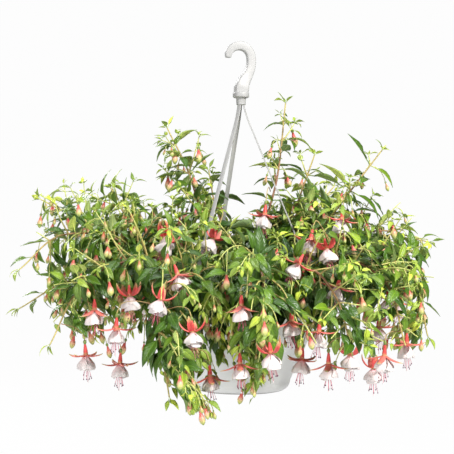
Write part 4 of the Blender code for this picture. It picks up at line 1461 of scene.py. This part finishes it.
def makeHook():
    look = hangerShape
    fine = splineThrough([Vector((x, half, z)) for x, z, half in look["route"]], 0.0022)
    first, second = fine[0], fine[1]
    back = Vector((first.x - second.x, 0.0, first.z - second.z)).normalized()
    rounded = []
    for share, scale in ((0.36, 0.66), (0.28, 0.86), (0.14, 0.96)):
        end = Vector((first.x, 0.0, first.z)) + back * share * first.y
        rounded.append(Vector((end.x, first.y * scale, end.z)))
    fine = rounded + fine
    bm = bmesh.new()
    rings = []
    for i, row in enumerate(fine):
        ahead, behind = fine[min(i + 1, len(fine) - 1)], fine[max(i - 1, 0)]
        along = Vector((ahead.x - behind.x, 0.0, ahead.z - behind.z)).normalized()
        across = Vector((along.z, 0.0, -along.x))
        at = Vector((row.x, 0.0, row.z))
        ring = [bm.verts.new(at + across * a + Vector((0.0, b, 0.0))) for a, b in hookSection(row.y, look["depth"])]
        rings.append([bm.edges.new(pair) for pair in zip(ring, ring[1:] + ring[:1])])
    for ring, after in zip(rings, rings[1:]):
        bmesh.ops.bridge_loops(bm, edges=ring + after)
    bmesh.ops.holes_fill(bm, edges=[edge for edge in bm.edges if edge.is_boundary])
    bmesh.ops.recalc_face_normals(bm, faces=bm.faces)
    bmesh.ops.rotate(bm, matrix=Matrix.Rotation(math.radians(look["turn"]), 3, "Z"), verts=bm.verts)
    return meshFrom("hook", bm)


def makeCollar():
    look = hangerShape
    top, low = look["collarTop"], look["collarTop"] - look["collarHeight"]
    radius, edge = look["collarRadius"], 0.0028
    profile = [(0.0, top), (radius - edge, top)]
    profile += arcPoints((radius - edge, top - edge), edge, 90, 0, 6)[1:]
    profile += arcPoints((radius - edge, low + edge), edge, 0, -90, 6)
    neck, foot = look["neckRadius"], low - look["neckHeight"]
    profile += [(neck + 0.0008, low), (neck, low - 0.0010), (neck - 0.0003, foot + 0.0008), (neck - 0.0012, foot), (0.0, foot)]
    return turnedMesh("collar", profile, 48, [])


# a flat strip, bevelled along its edges, with its toggle under the rim
def makeStrap(azimuth):
    look = hangerShape
    neck = look["collarTop"] - look["collarHeight"]
    rimZ, radius = bowlShape["rimZ"], bowlShape["strapRadius"]
    under = rimZ - bowlShape["rimThickness"]
    knots = [(0.0046, neck - 0.004), (0.0047, neck - 0.013), (0.0080, neck - 0.026), (0.0135, neck - 0.041)]
    knots += [(0.0215, neck - 0.060), (0.0480, neck - 0.1241), (0.0900, neck - 0.2256)]
    knots += [(0.1270, rimZ + 0.0110), (0.1308, rimZ + 0.0040), (radius, rimZ - 0.0010), (radius, under - 0.0040)]
    line = splineThrough([Vector((r, 0.0, z)) for r, z in knots], 0.004)
    strip = stripBetween(line, Vector((0.0, look["strapWidth"] / 2, 0.0)))
    strap = objectFrom("strap", meshFrom("strap", strip), workshop)
    solid = strap.modifiers.new("thickness", "SOLIDIFY")
    solid.thickness = look["strapThickness"]
    solid.offset = 0.0
    soft = strap.modifiers.new("edges", "BEVEL")
    soft.width = look["strapEdge"]
    soft.segments = 2
    soft.angle_limit = math.radians(50)
    bm = bmesh.new()
    bm.from_mesh(applied(strap))
    at = Matrix.Translation((radius, 0.0, under - look["toggleDrop"]))
    toggle = bmesh.ops.create_cube(bm, size=1.0, matrix=at @ Matrix.Diagonal(look["toggle"]))
    edges = [edge for edge in bm.edges if edge.verts[0] in toggle["verts"]]
    bmesh.ops.bevel(bm, geom=edges, offset=0.0006, segments=2, affect="EDGES", profile=0.5)
    bmesh.ops.rotate(bm, matrix=Matrix.Rotation(math.radians(azimuth), 3, "Z"), verts=bm.verts)
    return meshFrom("strapWithToggle", bm)


hangerMaterial = hangerPlastic()
parts = [makeHook(), makeCollar(), *map(makeStrap, strapAzimuths)]
piece = addPiece("hanger", smoothed(joined("hanger", parts, [hangerMaterial]), 40), "hanger")
piece.data.polygons.foreach_set("material_index", [0] * len(piece.data.polygons))
print("hanger made")


# clear the workshop

for group in (workshop, leaves, buds):
    for obj in list(group.objects):
        bpy.data.objects.remove(obj)
    bpy.data.collections.remove(group)


# stage: seamless white, soft light, camera

stageLook = {
    "floorZ": -0.80,
    "frontY": -6.0,
    "wallY": 4.6,
    "wallTop": 5.0,
    "half": 9.0,
    "round": 1.6,
    "white": (0.50, 0.50, 0.50),
    "glow": 0.11,
    "sky": 0.10,
    "paper": 0.97,
    "backdrop": 0.98,
}
lights = {
    "keyLight": ((1.6, -2.0, 1.4), (0.0, 0.0, -0.3), 0.6, 138.0, (1.0, 0.985, 0.95)),
    "fillLight": ((-1.5, -2.4, -0.1), (0.0, 0.0, -0.35), 1.2, 38.0, grey(1.0)),
    "backLight": ((-1.6, 1.9, 1.3), (0.0, 0.0, -0.3), 1.0, 60.0, grey(1.0)),
    "topLight": ((0.0, 0.3, 2.2), (0.0, 0.0, -0.3), 1.0, 30.0, grey(1.0)),
}
cameraLook = {"lens": 102.3, "sensor": 36.0, "reach": 100.0, "place": (-0.0217, -2.0, -0.274), "tilt": 90.0}


def makeStage():
    look = stageLook
    centre = Vector((0.0, look["wallY"] - look["round"], look["floorZ"] + look["round"]))
    line = [Vector((0.0, look["frontY"], look["floorZ"]))]
    for i in range(17):
        angle = math.radians(-90 + 90 * i / 16)
        line.append(centre + Vector((0.0, math.cos(angle), math.sin(angle))) * look["round"])
    line.append(Vector((0.0, look["wallY"], look["wallTop"])))
    bm = stripBetween(line, Vector((look["half"], 0.0, 0.0)))
    bmesh.ops.recalc_face_normals(bm, faces=bm.faces)
    material, tree, shader = newMaterial("stageWhite", 0.9)
    shader.inputs["Base Color"].default_value = (*look["white"], 1.0)
    shader.inputs["Emission Color"].default_value = (*grey(1.0), 1.0)
    shader.inputs["Emission Strength"].default_value = look["glow"]
    # the camera sees an even white paper, while the plant gets only the paper's soft glow
    seen = times(tree, addNode(tree, "ShaderNodeLightPath").outputs["Is Camera Ray"], look["paper"])
    paper = addNode(tree, "ShaderNodeEmission", {"Strength": 1.0}).outputs[0]
    both = addNode(tree, "ShaderNodeMixShader", {0: seen, 1: shader.outputs[0], 2: paper}).outputs[0]
    tree.links.new(both, tree.nodes["Material Output"].inputs["Surface"])
    mesh = smoothed(meshFrom("stageSweep", bm, [material]))
    objectFrom("stageSweep", mesh, bpy.context.scene.collection)


def addLight(name, place, target, size, power, colour):
    light = bpy.data.lights.new(name, "AREA")
    light.shape = "DISK"
    light.size = size
    light.energy = power
    light.color = colour
    lamp = objectFrom(name, light, bpy.context.scene.collection)
    lamp.location = place
    lamp.rotation_euler = (Vector(target) - Vector(place)).to_track_quat("-Z", "Y").to_euler()


makeStage()
for name, values in lights.items():
    addLight(name, *values)

scene = bpy.context.scene
world = bpy.data.worlds.new("paleWorld")
scene.world = world
world.use_nodes = True
tree = world.node_tree
sky = tree.nodes["Background"]
sky.inputs["Color"].default_value = (*grey(1.0), 1.0)
seen = addNode(tree, "ShaderNodeLightPath").outputs["Is Camera Ray"]
tree.links.new(fade(tree, seen, 0.0, 1.0, stageLook["sky"], stageLook["backdrop"]), sky.inputs["Strength"])

camera = bpy.data.cameras.new("camera")
camera.sensor_width = cameraLook["sensor"]
camera.lens = cameraLook["lens"]
camera.clip_end = cameraLook["reach"]
cameraObject = objectFrom("camera", camera, scene.collection)
cameraObject.location = cameraLook["place"]
cameraObject.rotation_euler = (math.radians(cameraLook["tilt"]), 0.0, 0.0)
scene.camera = cameraObject
scene.view_settings.view_transform = "Standard"
print("stage set")
